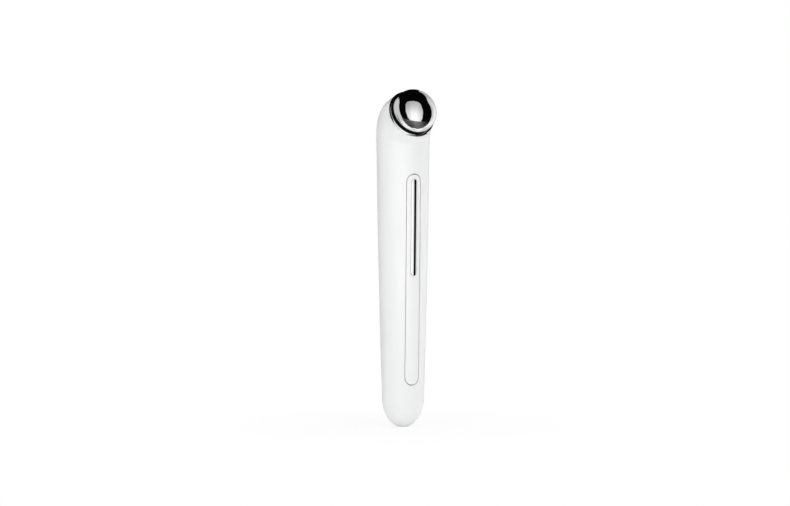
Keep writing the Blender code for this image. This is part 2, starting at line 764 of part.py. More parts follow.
switch_body = on_board("switch_body", SWITCH_SIZE, SWITCH_HEIGHT, SWITCH_Z, chip_black)
switch_well = rod("switch_well", (0, switch_front_y - OVERRUN, SWITCH_Z),
                  (0, switch_back_y - SWITCH_FLOOR, SWITCH_Z), PLUNGER_RADIUS + SEAT, PIN_STEPS)
cut(switch_body, switch_well)
switch_plunger = rod("switch_plunger", (0, plunger_front_y, SWITCH_Z),
                     (0, plunger_back_y, SWITCH_Z), PLUNGER_RADIUS, PIN_STEPS, frame_plastic)
move_origin(switch_plunger, (0, plunger_front_y, SWITCH_Z))
on_board("control_chip", CONTROL_CHIP_SIZE, CONTROL_CHIP_HEIGHT, control_chip_z, chip_black)
on_board("charge_chip", CHARGE_CHIP_SIZE, CHARGE_CHIP_HEIGHT, CHARGE_CHIP_Z, chip_black)
on_board("boost_coil", COIL_SIZE, COIL_HEIGHT, coil_z, chip_black)


# Screws

def screw(name, length, turn, seat):
    """A pan head screw along its own Z with its tip down, and the underside of its head at zero."""
    top = SCREW_HEAD_HEIGHT
    obj = turned(name, [
        (0, top - SCREW_RECESS_DEPTH), (SCREW_RECESS_RADIUS, top - SCREW_RECESS_DEPTH),
        (SCREW_RECESS_RADIUS, top), (SCREW_HEAD_RADIUS * SCREW_CROWN_SHARE, top),
        (SCREW_HEAD_RADIUS, top * SCREW_SHOULDER_SHARE), (SCREW_HEAD_RADIUS, 0), (SCREW_RADIUS, 0),
        (SCREW_RADIUS, -length + SCREW_RADIUS), (SCREW_RADIUS * SCREW_TIP_SHARE, -length),
        (0, -length)], steel, SMALL_STEPS)
    obj.rotation_euler = (turn, 0, 0)
    obj.location = seat
    return obj


quarter_turn = math.radians(90)
for label, z in (("low", CHASSIS_SCREW_LOW_Z), ("high", chassis_screw_high_z)):
    screw("chassis_screw_" + label, CHASSIS_SCREW_LENGTH, -quarter_turn,
          (0, spine_back_y + SEAT, z))
for label, z in (("low", BOARD_SCREW_LOW_Z), ("high", board_screw_high_z)):
    screw("board_screw_" + label, BOARD_SCREW_LENGTH, quarter_turn,
          (0, BOARD_FRONT_Y - SEAT, z))


# Battery cell and its foam pad

battery_cell = turned("battery_cell", [
    (0, cell_length), (CELL_NUB_RADIUS, cell_length),
    (CELL_NUB_RADIUS, cell_length - CELL_NUB_HEIGHT),
    (cell_radius - CELL_EDGE, cell_length - CELL_NUB_HEIGHT),
    (cell_radius, cell_length - CELL_NUB_HEIGHT - CELL_EDGE), (cell_radius, CELL_EDGE),
    (cell_radius - CELL_EDGE, 0), (0, 0)], cell_wrap, INNER_STEPS)
battery_cell.location = (0, cell_y, CELL_LOW_Z)
pad_front_y = cell_back_y + SEAT
pad_high_z = cell_high_z - PAD_HIGH_DROP
pad_low_z = pad_high_z - PAD_LENGTH
pad_back_y = half_depth_at(pad_low_z) - WALL - PAD_REAR_ROOM
box("battery_pad", (-PAD_WIDTH / 2, pad_front_y, pad_low_z),
    (PAD_WIDTH / 2, pad_back_y, pad_high_z), foam_grey)


# Vibration motor with its boot, shaft and eccentric weight

bore = SHAFT_RADIUS + PIN_PLAY
motor_can = turned("motor_can", [
    (0, MOTOR_LENGTH - SHAFT_BORE_DEPTH), (bore, MOTOR_LENGTH - SHAFT_BORE_DEPTH),
    (bore, MOTOR_LENGTH), (MOTOR_RADIUS - MOTOR_EDGE, MOTOR_LENGTH),
    (MOTOR_RADIUS, MOTOR_LENGTH - MOTOR_EDGE), (MOTOR_RADIUS, MOTOR_EDGE),
    (MOTOR_RADIUS - MOTOR_EDGE, 0), (0, 0)], steel, INNER_STEPS)
motor_can.location = (0, motor_y, motor_low_z)
boot_inner = MOTOR_RADIUS + SEAT
motor_boot = turned("motor_boot", [
    (boot_outer, BOOT_LENGTH), (boot_outer, 0), (boot_inner, 0), (boot_inner, BOOT_LENGTH)],
    black_rubber, INNER_STEPS)
motor_boot.location = (0, motor_y, boot_low_z)

motor_top_z = motor_low_z + MOTOR_LENGTH
shaft_low_z = motor_top_z - SHAFT_BORE_DEPTH + SEAT
motor_shaft = rod("motor_shaft", (0, motor_y, shaft_low_z),
                  (0, motor_y, shaft_low_z + SHAFT_LENGTH), SHAFT_RADIUS, SMALL_STEPS, steel)
move_origin(motor_shaft, (0, motor_y, motor_top_z))
weight_low_z = motor_top_z + WEIGHT_LIFT
eccentric_weight = rod("eccentric_weight", (0, motor_y, weight_low_z),
                       (0, motor_y, weight_low_z + WEIGHT_LENGTH), WEIGHT_RADIUS,
                       INNER_STEPS, weight_metal)
weight_relief = box("weight_relief", (-WEIGHT_RADIUS - OVERRUN, motor_y + WEIGHT_HUB_STEP,
                                      weight_low_z - OVERRUN),
                    (WEIGHT_RADIUS + OVERRUN, motor_y + WEIGHT_RADIUS + OVERRUN,
                     weight_low_z + WEIGHT_LENGTH + OVERRUN))
weight_hub = rod("weight_hub", (0, motor_y, weight_low_z - WEIGHT_HUB_STEP),
                 (0, motor_y, weight_low_z + WEIGHT_LENGTH + WEIGHT_HUB_STEP),
                 WEIGHT_HUB_RADIUS, HUB_STEPS)
weight_bore = rod("weight_bore", (0, motor_y, weight_low_z - OVERRUN),
                  (0, motor_y, weight_low_z + WEIGHT_LENGTH + OVERRUN), bore, SMALL_STEPS)
cut(eccentric_weight, weight_relief)
join(eccentric_weight, weight_hub)
cut(eccentric_weight, weight_bore)
move_origin(eccentric_weight, (0, motor_y, motor_top_z))


# Charging socket and its board

flat_solid("socket_shell", [socket_outline(0.0), socket_outline(-SOCKET_SKIN)],
           socket_mouth_y - SOCKET_LENGTH, socket_mouth_y, steel)
core_low_y = socket_mouth_y - SOCKET_LENGTH + SEAT
socket_core = flat_solid("socket_core", [socket_outline(-SOCKET_SKIN - SEAT)], core_low_y,
                         core_low_y + SOCKET_CORE_LENGTH, chip_black)
tongue = box("tongue", (-TONGUE_WIDTH / 2, core_low_y + SOCKET_CORE_LENGTH - EMBED,
                        SOCKET_Z - TONGUE_THICKNESS / 2),
             (TONGUE_WIDTH / 2, core_low_y + SOCKET_CORE_LENGTH + TONGUE_LENGTH,
              SOCKET_Z + TONGUE_THICKNESS / 2))
join(socket_core, tongue)

charge_board_top_z = socket_low_z - SEAT
charge_board_low_z = charge_board_top_z - CHARGE_BOARD_THICKNESS
charge_board_front_y = spine_back_y + SEAT
charge_board_back_y = socket_mouth_y - CHARGE_BOARD_STEP
box("charging_board", (-CHARGE_BOARD_WIDTH / 2, charge_board_front_y,
                       charge_board_low_z),
    (CHARGE_BOARD_WIDTH / 2, charge_board_back_y, charge_board_top_z), board_green)


# Chassis

window_low_z = CELL_LOW_Z - WINDOW_MARGIN
window_high_z = cell_high_z + WINDOW_MARGIN
chassis = flat_solid("chassis", [
    rounded_box(spine_half, SPINE_LOW_Z, spine_high_z, SPINE_CORNER),
    rectangle(window_half, window_low_z, window_high_z),
    rectangle(SOCKET_SLOT_WIDTH / 2, charge_board_top_z, charge_board_top_z
              + SOCKET_SLOT_HEIGHT),
    circle(0, CHASSIS_SCREW_LOW_Z, screw_hole),
    circle(0, chassis_screw_high_z, screw_hole),
    circle(0, BOARD_SCREW_LOW_Z, screw_hole),
    circle(0, board_screw_high_z, screw_hole),
    circle(MOTOR_LEAD_HOLE_X, motor_lead_hole_z, MOTOR_LEAD_HOLE_RADIUS)],
    spine_front_y, spine_back_y, frame_plastic)


def across(side, near, far):
    """The lower and higher X of a stretch that lies on the given side."""
    return min(side * near, side * far), max(side * near, side * far)


root_y = spine_back_y - SPINE_THICKNESS / 2
cheek_inner_x = boot_outer + SEAT
for side, label in ((-1, "left"), (1, "right")):
    low_x, high_x = across(side, window_half, spine_half)
    rail = box("rail_" + label, (low_x, root_y, window_low_z),
               (high_x, spine_back_y + RAIL_DEPTH, window_high_z))
    join(chassis, rail)
    low_x, high_x = across(side, STOP_OPEN_WIDTH / 2, window_half + EMBED)
    for end, z in (("low", CELL_LOW_Z - SEAT - STOP_THICKNESS), ("high", cell_high_z + SEAT)):
        stop = box("stop_" + end + "_" + label, (low_x, root_y, z),
                   (high_x, spine_back_y + STOP_DEPTH, z + STOP_THICKNESS))
        join(chassis, stop)
    low_x, high_x = across(side, cheek_inner_x, cheek_inner_x + CHEEK_WIDTH)
    cheek = box("cheek_" + label, (low_x, root_y, boot_low_z - EMBED),
                (high_x, spine_back_y + CHEEK_DEPTH, boot_high_z - CHEEK_END))
    join(chassis, cheek)
    low_x, high_x = across(side, ear_inner_x, ear_outer_x)
    ear = box("ear_" + label, (low_x, HINGE_Y - EAR_HALF_HEIGHT, hinge_z - EAR_HALF_HEIGHT),
              (high_x, spine_back_y - SPINE_THICKNESS / 2, hinge_z + EAR_HALF_HEIGHT))
    join(chassis, ear)
ledge = box("ledge", (-cheek_inner_x - EMBED, root_y, boot_low_z - SEAT - LEDGE_THICKNESS),
            (cheek_inner_x + EMBED, spine_back_y + LEDGE_DEPTH, boot_low_z - SEAT))
neck = box("neck", (-SPINE_NECK_WIDTH / 2, spine_front_y, spine_high_z
                    - SPINE_NECK_WIDTH / 2),
           (SPINE_NECK_WIDTH / 2, spine_back_y + EMBED, spine_neck_high_z))
shelf = box("shelf", (-SHELF_WIDTH / 2, root_y, charge_board_low_z - SEAT - SHELF_THICKNESS),
            (SHELF_WIDTH / 2, charge_board_back_y - SHELF_STEP, charge_board_low_z - SEAT))
join(chassis, ledge, shelf, neck)
cut(chassis, pin_bore)


# Head, built along its own axis

head_axis = bpy.data.objects.new("head_axis", None)
model.objects.link(head_axis)
head_axis.location = MOUTH_CENTRE
head_axis.rotation_euler = (math.radians(90) - HEAD_TILT, 0, 0)


def on_head(obj):
    obj.parent = head_axis
    return obj


mouth_bore = MOUTH_RADIUS - WALL
base_low = SEAT
base_high = base_low + BASE_RING_HEIGHT
edge = BASE_RING_EDGE
on_head(turned("head_base_ring", [
    (mouth_bore, base_high), (BASE_RING_RADIUS - edge, base_high),
    (BASE_RING_RADIUS - edge * RING_EDGE_SHARE, base_high - edge * RING_EDGE_SHARE),
    (BASE_RING_RADIUS, base_high - edge), (BASE_RING_RADIUS, base_low), (mouth_bore, base_low)],
    bright_chrome))

seal_low = base_high + SEAT
seal_high = seal_low + SEAL_HEIGHT
on_head(turned("collar_seal", [
    (mouth_bore, seal_high), (SEAL_RADIUS, seal_high), (SEAL_RADIUS, seal_low),
    (mouth_bore, seal_low)], black_rubber))

collar_low = seal_high + SEAT
collar_high = collar_low + COLLAR_LIP_THICKNESS
sleeve_radius = mouth_bore - SEAT
on_head(turned("head_collar_ring", [
    (COLLAR_THROAT_RADIUS, collar_high), (COLLAR_RADIUS, collar_high), (COLLAR_RADIUS, collar_low),
    (sleeve_radius, collar_low), (sleeve_radius, -SLEEVE_DROP),
    (COLLAR_THROAT_RADIUS, -SLEEVE_DROP)], bright_chrome))

# The dome: a wide cap whose skirt passes through the collar and ends in a flange
dome_foot = collar_high + SEAT
dome_base = dome_foot + DOME_FOOT_HEIGHT
flange_high = -SLEEVE_DROP - SEAT
flange_low = flange_high - SKIRT_WALL
dome_inner = SKIRT_RADIUS - SKIRT_WALL
dome_rise = DOME_HEIGHT - DOME_CROWN
dome_angles = [math.radians(a) for a in (90, 80, 70, 60, 50, 40, 30, 20, 10)]
cavity_angles = [math.radians(a) for a in (12, 35, 62, 90)]
dome_profile = [(DOME_RADIUS * math.cos(a) if a < dome_angles[0] else 0,
                 dome_base + DOME_HEIGHT * math.sin(a)) for a in dome_angles]
dome_profile += [(DOME_RADIUS, dome_base), (DOME_RADIUS, dome_foot), (SKIRT_RADIUS, dome_foot),
                 (SKIRT_RADIUS, flange_high), (sleeve_radius, flange_high),
                 (sleeve_radius, flange_low), (dome_inner, flange_low), (dome_inner, dome_base)]
dome_profile += [(dome_inner * math.cos(a) if a < cavity_angles[-1] else 0,
                  dome_base + dome_rise * math.sin(a)) for a in cavity_angles]
on_head(turned("massage_dome", dome_profile, bright_chrome))

holder_high = flange_low - SEAT
holder_low = holder_high - HOLDER_THICKNESS
pedestal_outer = dome_inner - SEAT
pedestal_inner = pedestal_outer - PEDESTAL_WALL
pedestal_top = holder_high + PEDESTAL_HEIGHT
head_holder = on_head(turned("head_holder", [
    (0, holder_high), (pedestal_inner, holder_high), (pedestal_inner, pedestal_top),
    (pedestal_outer, pedestal_top), (pedestal_outer, holder_high),
    (sleeve_radius, holder_high), (sleeve_radius, holder_low), (0, holder_low)],
    holder_plastic, INNER_STEPS))
platform_high = holder_low - SEAT
platform_low = platform_high - PLATFORM_THICKNESS
screw_seat = platform_low - SEAT
for side, label in ((-1, "left"), (1, "right")):
    x = side * HEAD_SCREW_X
    boss = on_head(rod("holder_boss_" + label, (x, 0, holder_high - EMBED),
                       (x, 0, holder_high + HOLDER_BOSS_HEIGHT), HOLDER_BOSS_RADIUS,
                       SMALL_STEPS))
    join(head_holder, boss)
for side, label in ((-1, "left"), (1, "right")):
    x = side * HEAD_SCREW_X
    pilot = on_head(rod("holder_pilot_" + label, (x, 0, platform_low - OVERRUN),
                        (x, 0, screw_seat + HEAD_SCREW_LENGTH + SEAT), screw_hole,
                        SMALL_STEPS))
    cut(head_holder, pilot)
lead_hole = on_head(rod("lead_hole", (0, -LEAD_HOLE_OFFSET, platform_low - OVERRUN),
                        (0, -LEAD_HOLE_OFFSET, holder_high + SEAT), LEAD_HOLE_RADIUS,
                        SMALL_STEPS))
cut(head_holder, lead_hole)

platform = on_head(rod("platform", (0, 0, platform_low), (0, 0, platform_high),
                       PLATFORM_RADIUS))
for side, label in ((-1, "left"), (1, "right")):
    x = side * HEAD_SCREW_X
    through = on_head(rod("platform_hole_" + label, (x, 0, platform_low - OVERRUN),
                          (x, 0, platform_high + SEAT), screw_hole, SMALL_STEPS))
    cut(platform, through)
cut(platform, lead_hole)
join(chassis, platform)

heater_low = pedestal_top + SEAT
on_head(rod("heater_disc", (0, 0, heater_low),
            (0, 0, heater_low + HEATER_THICKNESS), pedestal_outer,
            INNER_STEPS, heater_film))


def bead(bm):
    bmesh.ops.create_uvsphere(bm, u_segments=12, v_segments=8, radius=THERMISTOR_RADIUS)


thermistor = on_head(mesh_object("thermistor", bead, chip_black))
thermistor.location = (0, 0, heater_low + HEATER_THICKNESS + SEAT + THERMISTOR_RADIUS)
smooth(thermistor)

for side, label in ((-1, "left"), (1, "right")):
    on_head(screw("head_screw_" + label, HEAD_SCREW_LENGTH, 2 * quarter_turn,
                  (side * HEAD_SCREW_X, 0, screw_seat)))


# Leads

def head_point(x, down, height):
    """A point given across, down and along the head's axis."""
    return MOUTH_CENTRE + Vector((x, 0, 0)) + HEAD_DOWN * down + HEAD_AXIS * height


half_pitch = LEAD_PITCH / 2
board_face_y = BOARD_FRONT_Y - SEAT - LEAD_RADIUS
for side, label, colour in ((-1, "a", lead_red), (1, "b", lead_black)):
    tube("heater_lead_" + label, [
        head_point(side * half_pitch, LEAD_HOLE_OFFSET, heater_low - SEAT),
        head_point(side * half_pitch, LEAD_HOLE_OFFSET, holder_high),
        head_point(side * half_pitch, LEAD_HOLE_OFFSET, platform_low),
        (side * HEATER_LEAD_SIDE_X * HEATER_LEAD_NARROW_SHARE, board_face_y, chassis_screw_high_z
         + BOSS_RADIUS * 2),
        (side * HEATER_LEAD_SIDE_X, board_face_y, hinge_z + LUG_RADIUS * 2),
        (side * HEATER_LEAD_SIDE_X, board_face_y, heater_lead_end_z)],
        LEAD_RADIUS, colour)
    tube("motor_lead_" + label, [
        (side * half_pitch, motor_y, motor_low_z - SEAT),
        (side * half_pitch, motor_y, motor_low_z - LEAD_LOOP),
        (MOTOR_LEAD_HOLE_X + side * half_pitch, spine_back_y + LEAD_LOOP, motor_lead_hole_z),
        (MOTOR_LEAD_HOLE_X + side * half_pitch, board_back_y + SEAT, motor_lead_hole_z)],
        LEAD_RADIUS, colour)
    tube("socket_lead_" + label, [
        (side * LEAD_PITCH, charge_board_front_y + LEAD_LOOP,
         charge_board_top_z + SEAT + LEAD_RADIUS),
        (side * LEAD_PITCH, charge_board_front_y + LEAD_LOOP / 2,
         charge_board_top_z + SEAT + LEAD_RADIUS * 2),
        (side * LEAD_PITCH, board_back_y + SEAT,
         charge_board_top_z + SEAT + LEAD_RADIUS * 3)],
        LEAD_RADIUS, colour)
tube("cell_lead_high", [
    (0, cell_y, cell_high_z + SEAT), (0, cell_y - LEAD_LOOP / 2, cell_high_z + LEAD_LOOP),
    (0, spine_back_y, cell_high_z + LEAD_LOOP), (0, board_back_y + SEAT, cell_high_z
                                                 + LEAD_LOOP)], LEAD_RADIUS, lead_red)
tube("cell_lead_low", [
    (0, cell_y, CELL_LOW_Z - SEAT), (0, cell_y - LEAD_LOOP / 2, CELL_LOW_Z - LEAD_LOOP),
    (0, spine_back_y, CELL_LOW_Z - LEAD_LOOP), (0, board_back_y + SEAT, CELL_LOW_Z
                                                - LEAD_LOOP)], LEAD_RADIUS, lead_black)
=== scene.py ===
import math
import bmesh
import bpy
from mathutils import Matrix, Vector


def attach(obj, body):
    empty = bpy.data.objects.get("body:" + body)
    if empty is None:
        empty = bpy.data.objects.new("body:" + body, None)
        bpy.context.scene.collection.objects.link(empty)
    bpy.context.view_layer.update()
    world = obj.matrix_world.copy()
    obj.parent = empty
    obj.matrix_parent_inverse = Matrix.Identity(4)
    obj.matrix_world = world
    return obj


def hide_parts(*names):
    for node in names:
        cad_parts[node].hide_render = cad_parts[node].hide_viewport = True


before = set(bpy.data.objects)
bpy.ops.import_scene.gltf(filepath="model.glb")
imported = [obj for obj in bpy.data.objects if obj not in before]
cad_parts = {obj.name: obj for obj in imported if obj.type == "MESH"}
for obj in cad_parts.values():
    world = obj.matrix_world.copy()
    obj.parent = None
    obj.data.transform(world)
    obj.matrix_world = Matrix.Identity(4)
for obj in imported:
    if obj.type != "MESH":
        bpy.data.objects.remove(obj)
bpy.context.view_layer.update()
print("frame loaded:", len(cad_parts), "nodes")

mm = 0.001
nearEnough = 0.001 * mm  # points closer than this count as one


# the camera stands where the photographer stood, with a long lens
cameraValues = {
    "azimuth": -29.5,
    "elevation": 5.0,
    "lens": 560.0,
    "metresPerPixel": 0.4457 * mm,
    "imageSize": (790, 506),
    "originPixel": (402.5, 425.7),  # where the wand's foot stands in the picture
    "sensorWidth": 36.0,
    "clipping": (0.01, 50.0),
}


def makeCamera(values):
    wide, high = values["imageSize"]
    lensData = bpy.data.cameras.new("studioCamera")
    lensData.lens = values["lens"]
    lensData.sensor_width = values["sensorWidth"]
    lensData.clip_start, lensData.clip_end = values["clipping"]
    cameraObject = bpy.data.objects.new("studioCamera", lensData)
    bpy.context.scene.collection.objects.link(cameraObject)
    turn = math.radians(values["azimuth"])
    tilt = math.radians(values["elevation"])
    toCamera = Vector((math.sin(turn) * math.cos(tilt), -math.cos(turn) * math.cos(tilt), math.sin(tilt)))
    rightward = Vector((math.cos(turn), math.sin(turn), 0))
    upward = toCamera.cross(rightward)
    scale = values["metresPerPixel"]
    # a pixel's centre lies half a pixel from its corner
    footRight = (values["originPixel"][0] + 0.5 - wide / 2) * scale
    footDown = (values["originPixel"][1] + 0.5 - high / 2) * scale
    distance = values["lens"] / lensData.sensor_width * wide * scale
    aim = -rightward * footRight + upward * footDown
    spot = aim + toCamera * distance
    cameraObject.matrix_world = Matrix.Translation(spot) @ Matrix(
        (rightward, upward, toCamera)).transposed().to_4x4()
    bpy.context.scene.camera = cameraObject


makeCamera(cameraValues)
print("camera placed")


# shader building: Line is one socket that can be added, multiplied and so on

class Line:
    def __init__(self, finish, socket):
        self.finish = finish
        self.socket = socket

    def maths(self, operation, first, second):
        return self.finish.add("Math", {"operation": operation}, {0: first, 1: second})

    def __add__(self, other):
        return self.maths("ADD", self, other)

    def __radd__(self, other):
        return self.maths("ADD", other, self)

    def __sub__(self, other):
        return self.maths("SUBTRACT", self, other)

    def __rsub__(self, other):
        return self.maths("SUBTRACT", other, self)

    def __mul__(self, other):
        return self.maths("MULTIPLY", self, other)

    def __rmul__(self, other):
        return self.maths("MULTIPLY", other, self)


class Finish:
    def __init__(self, name, tree=None):
        if tree is None:
            self.material = bpy.data.materials.new(name)
            self.material.use_nodes = True
            tree = self.material.node_tree
            self.shader = tree.nodes["Principled BSDF"]
        self.tree = tree

    def feed(self, socket, value):
        if isinstance(value, Line):
            self.tree.links.new(value.socket, socket)
        elif isinstance(value, (tuple, list)) and len(value) == 3 and len(socket.default_value) == 4:
            socket.default_value = (*value, 1.0)
        else:
            socket.default_value = value

    def add(self, kind, settings=None, inputs=None, out=0):
        node = self.tree.nodes.new("ShaderNode" + kind)
        for key, value in (settings or {}).items():
            if key == "stops":
                while len(node.color_ramp.elements) < len(value):
                    node.color_ramp.elements.new(0.5)
                for element, (place, grey) in zip(node.color_ramp.elements, value):
                    element.position = place
                    element.color = (grey, grey, grey, 1.0)
            else:
                setattr(node, key, value)
        for key, value in (inputs or {}).items():
            self.feed(node.inputs[key], value)
        return Line(self, node.outputs[out]) if out is not None else node

    def place(self, stretch=(1, 1, 1)):
        spot = self.add("TexCoord", out=3)
        if stretch == (1, 1, 1):
            return spot
        return self.add("Mapping", {}, {"Vector": spot, "Scale": stretch})

    def noise(self, perMetre, detail=3.0, rough=0.5, stretch=(1, 1, 1)):
        return self.add("TexNoise", {}, {"Vector": self.place(stretch), "Scale": perMetre,
                                         "Detail": detail, "Roughness": rough})

    def cells(self, perMetre):
        return self.add("TexVoronoi", {}, {"Vector": self.place(), "Scale": perMetre})

    def ramp(self, value, *stops):
        return self.add("ValToRGB", {"stops": stops}, {"Fac": value})

    def patches(self, perMetre, detail, rough, start, full, stretch=(1, 1, 1)):
        # noise that shows only where it is stronger than start
        return self.ramp(self.noise(perMetre, detail, rough, stretch), (start, 0.0), (full, 1.0))

    def blend(self, share, first, second):
        return self.add("Mix", {"data_type": "RGBA"}, {0: share, 6: first, 7: second}, 2)

    def bump(self, height, strength, distance):
        return self.add("Bump", {}, {"Strength": strength, "Distance": distance, "Height": height})

    def set(self, **inputs):
        names = {"colour": "Base Color", "roughness": "Roughness", "metallic": "Metallic",
                 "normal": "Normal", "ior": "IOR", "specular": "Specular IOR Level",
                 "glow": "Emission Color", "glowStrength": "Emission Strength"}
        for key, value in inputs.items():
            self.feed(self.shader.inputs[names[key]], value)
        return self.material


# finishes. In each look a noise is (features per metre, detail, roughness), a patchy one also has
# the strengths where it starts and is full, a bump is (strength, height), and the plain factors
# in the functions say how much of each pattern goes into a mix

shellLook = {
    "pale": (0.885, 0.885, 0.885), "shade": (0.865, 0.866, 0.868), "gloss": 0.13, "ior": 1.5,
    "drift": (45.0, 2.0),  # the resin's tone drifts over a couple of centimetres
    "speck": (2600.0, 2.0, 0.6), "peel": (820.0, 1.0),
    "smudge": (110.0, 4.0, 0.62, 0.48, 0.72), "bump": (0.08, 0.02 * mm),
}
keyLook = dict(shellLook, shade=(0.87, 0.87, 0.872), gloss=0.12)


def whiteShellFinish(name, look):
    f = Finish(name)
    drift, speck, peel = (f.noise(*look[key]) for key in ("drift", "speck", "peel"))
    smudge = f.patches(*look["smudge"])
    colour = f.blend(drift * 0.7 + speck * 0.3, look["pale"], look["shade"])
    rough = look["gloss"] + smudge * 0.06 + speck * 0.03
    return f.set(colour=colour, roughness=rough, ior=look["ior"],
                 normal=f.bump(peel * 0.7 + speck * 0.1, *look["bump"]))


chromeLook = {
    "bright": (0.94, 0.94, 0.945), "dull": (0.86, 0.865, 0.875), "gloss": 0.03,
    "cloud": (160.0, 4.0, 0.6, 0.42, 0.75), "hair": (900.0, 5.0, 0.7, 0.62, 0.8),
    "hairStretch": (1.0, 1.0, 1.0), "bump": (0.03, 0.01 * mm),
}
ringLook = dict(chromeLook, bright=(0.93, 0.93, 0.935), gloss=0.035)
barLook = dict(chromeLook, dull=(0.86, 0.86, 0.87), gloss=0.04, hairStretch=(1.0, 1.0, 0.08))


def chromeFinish(name, look):
    f = Finish(name)
    cloud = f.patches(*look["cloud"])
    hair = f.patches(*look["hair"], look["hairStretch"])
    colour = f.blend(cloud * 0.6 + hair * 0.3, look["bright"], look["dull"])
    rough = look["gloss"] + cloud * 0.02 + hair * 0.05
    return f.set(colour=colour, roughness=rough, metallic=1.0,
                 normal=f.bump(hair * 0.4 + cloud * 0.2, *look["bump"]))


bootLook = {
    "dark": (0.02, 0.02, 0.022), "pale": (0.06, 0.06, 0.062), "rough": 0.55, "shine": 0.5,
    "dust": (420.0, 5.0, 0.65, 0.45, 0.8), "grain": (5200.0, 2.0), "bump": (0.25, 0.03 * mm),
}
# the collar seal is a rubber ring, but its near-black tone with little shine, ten times darker than the boot
# rubber, is also painted shade of the groove between the chrome rings
sealGrooveShadeLook = dict(bootLook, dark=(0.002, 0.002, 0.002), pale=(0.006, 0.006, 0.006), rough=0.7, shine=0.15)


def rubberFinish(name, look):
    f = Finish(name)
    dust = f.patches(*look["dust"])
    grain = f.noise(*look["grain"])
    return f.set(colour=f.blend(dust * 0.6, look["dark"], look["pale"]),
                 roughness=look["rough"] + grain * 0.2 - dust * 0.1,
                 specular=look["shine"], normal=f.bump(grain, *look["bump"]))


frameLook = {
    "dark": (0.2, 0.21, 0.22), "pale": (0.29, 0.3, 0.31), "rough": 0.45,
    "flow": (130.0, 3.0, 0.55, (1, 1, 0.3)), "spark": 2800.0, "bump": (0.2, 0.03 * mm),
}
holderLook = dict(frameLook, dark=(0.48, 0.44, 0.36), pale=(0.6, 0.56, 0.47))
chipLook = dict(frameLook, dark=(0.02, 0.02, 0.022), pale=(0.05, 0.05, 0.052), rough=0.4)


def mouldedFinish(name, look):
    f = Finish(name)
    flow = f.noise(*look["flow"])
    spark = f.cells(look["spark"])
    return f.set(colour=f.blend(flow, look["dark"], look["pale"]),
                 roughness=look["rough"] + spark * 0.15 - flow * 0.08,
                 normal=f.bump(spark, *look["bump"]))


boardLook = {
    "dark": (0.015, 0.13, 0.05), "pale": (0.03, 0.2, 0.08), "track": (0.06, 0.32, 0.13),
    "gold": (0.62, 0.47, 0.2), "rough": 0.32, "mask": (300.0, 3.0), "pads": 520.0,
    "padEdge": ((0.1, 1.0), (0.16, 0.0)), "bump": (0.3, 0.04 * mm),
    "trackRows": {"offset": 0.37, "squash": 0.6, "squash_frequency": 3},
    "trackSizes": {"Scale": 260.0, "Mortar Size": 0.035, "Mortar Smooth": 0.2,
                   "Brick Width": 0.9, "Row Height": 0.3},
}


def boardFinish(name, look):
    f = Finish(name)
    tracks = f.add("TexBrick", look["trackRows"], {"Vector": f.place(), **look["trackSizes"]}, 1)
    pads = f.ramp(f.cells(look["pads"]), *look["padEdge"])
    mask = f.noise(*look["mask"])
    lit = f.blend(tracks * 0.6, f.blend(mask, look["dark"], look["pale"]), look["track"])
    return f.set(colour=f.blend(pads, lit, look["gold"]), roughness=look["rough"] + mask * 0.15 - pads * 0.1,
                 metallic=pads * 0.8, normal=f.bump(tracks * 0.5 + pads, *look["bump"]))


steelLook = {
    "bright": (0.62, 0.62, 0.63), "dull": (0.48, 0.48, 0.5), "rough": 0.25,
    "drawn": (300.0, 5.0, 0.7), "lines": (1, 1, 14), "tarnish": (90.0, 4.0, 0.5, 0.4, 0.75),
    "bump": (0.15, 0.02 * mm),
}
brassLook = dict(steelLook, bright=(0.58, 0.5, 0.34), dull=(0.4, 0.35, 0.25), rough=0.4, lines=(1, 1, 1))
goldLook = dict(steelLook, bright=(0.85, 0.62, 0.25), dull=(0.7, 0.48, 0.18), rough=0.2, lines=(1, 1, 1))


def drawnMetalFinish(name, look):
    f = Finish(name)
    drawn = f.noise(*look["drawn"], look["lines"])
    tarnish = f.patches(*look["tarnish"])
    return f.set(colour=f.blend(tarnish * 0.7 + drawn * 0.2, look["bright"], look["dull"]), metallic=1.0,
                 roughness=look["rough"] + drawn * 0.15 + tarnish * 0.1,
                 normal=f.bump(drawn, *look["bump"]))


wrapLook = {
    "dark": (0.03, 0.11, 0.3), "pale": (0.07, 0.2, 0.46), "worn": (0.4, 0.45, 0.5), "rough": 0.28,
    "crease": (260.0, 4.0, 0.6, (1, 1, 0.25)), "scuff": (700.0, 5.0, 0.7, 0.6, 0.75),
    "bump": (0.4, 0.08 * mm),
}


def wrapFinish(name, look):
    f = Finish(name)
    crease = f.noise(*look["crease"])
    scuff = f.patches(*look["scuff"])
    colour = f.blend(crease, look["dark"], look["pale"])
    return f.set(colour=f.blend(scuff * 0.4, colour, look["worn"]), roughness=look["rough"] + scuff * 0.3,
                 normal=f.bump(crease, *look["bump"]))


foamLook = {
    "dark": (0.06, 0.06, 0.065), "pale": (0.22, 0.22, 0.23), "rough": 0.85, "cells": 3200.0,
    "tone": (240.0, 3.0), "bump": (0.8, 0.15 * mm),
}


def foamFinish(name, look):
    f = Finish(name)
    cells = f.cells(look["cells"])
    tone = f.noise(*look["tone"])
    return f.set(colour=f.blend(cells * 0.7 + tone * 0.3, look["dark"], look["pale"]),
                 roughness=look["rough"] + cells * 0.1, normal=f.bump(cells, *look["bump"]))


filmLook = {
    "dark": (0.45, 0.2, 0.04), "pale": (0.72, 0.42, 0.12), "rough": 0.3, "tone": (200.0, 3.0),
    "rings": {"Scale": 300.0, "Distortion": 1.5}, "bump": (0.3, 0.04 * mm),
}


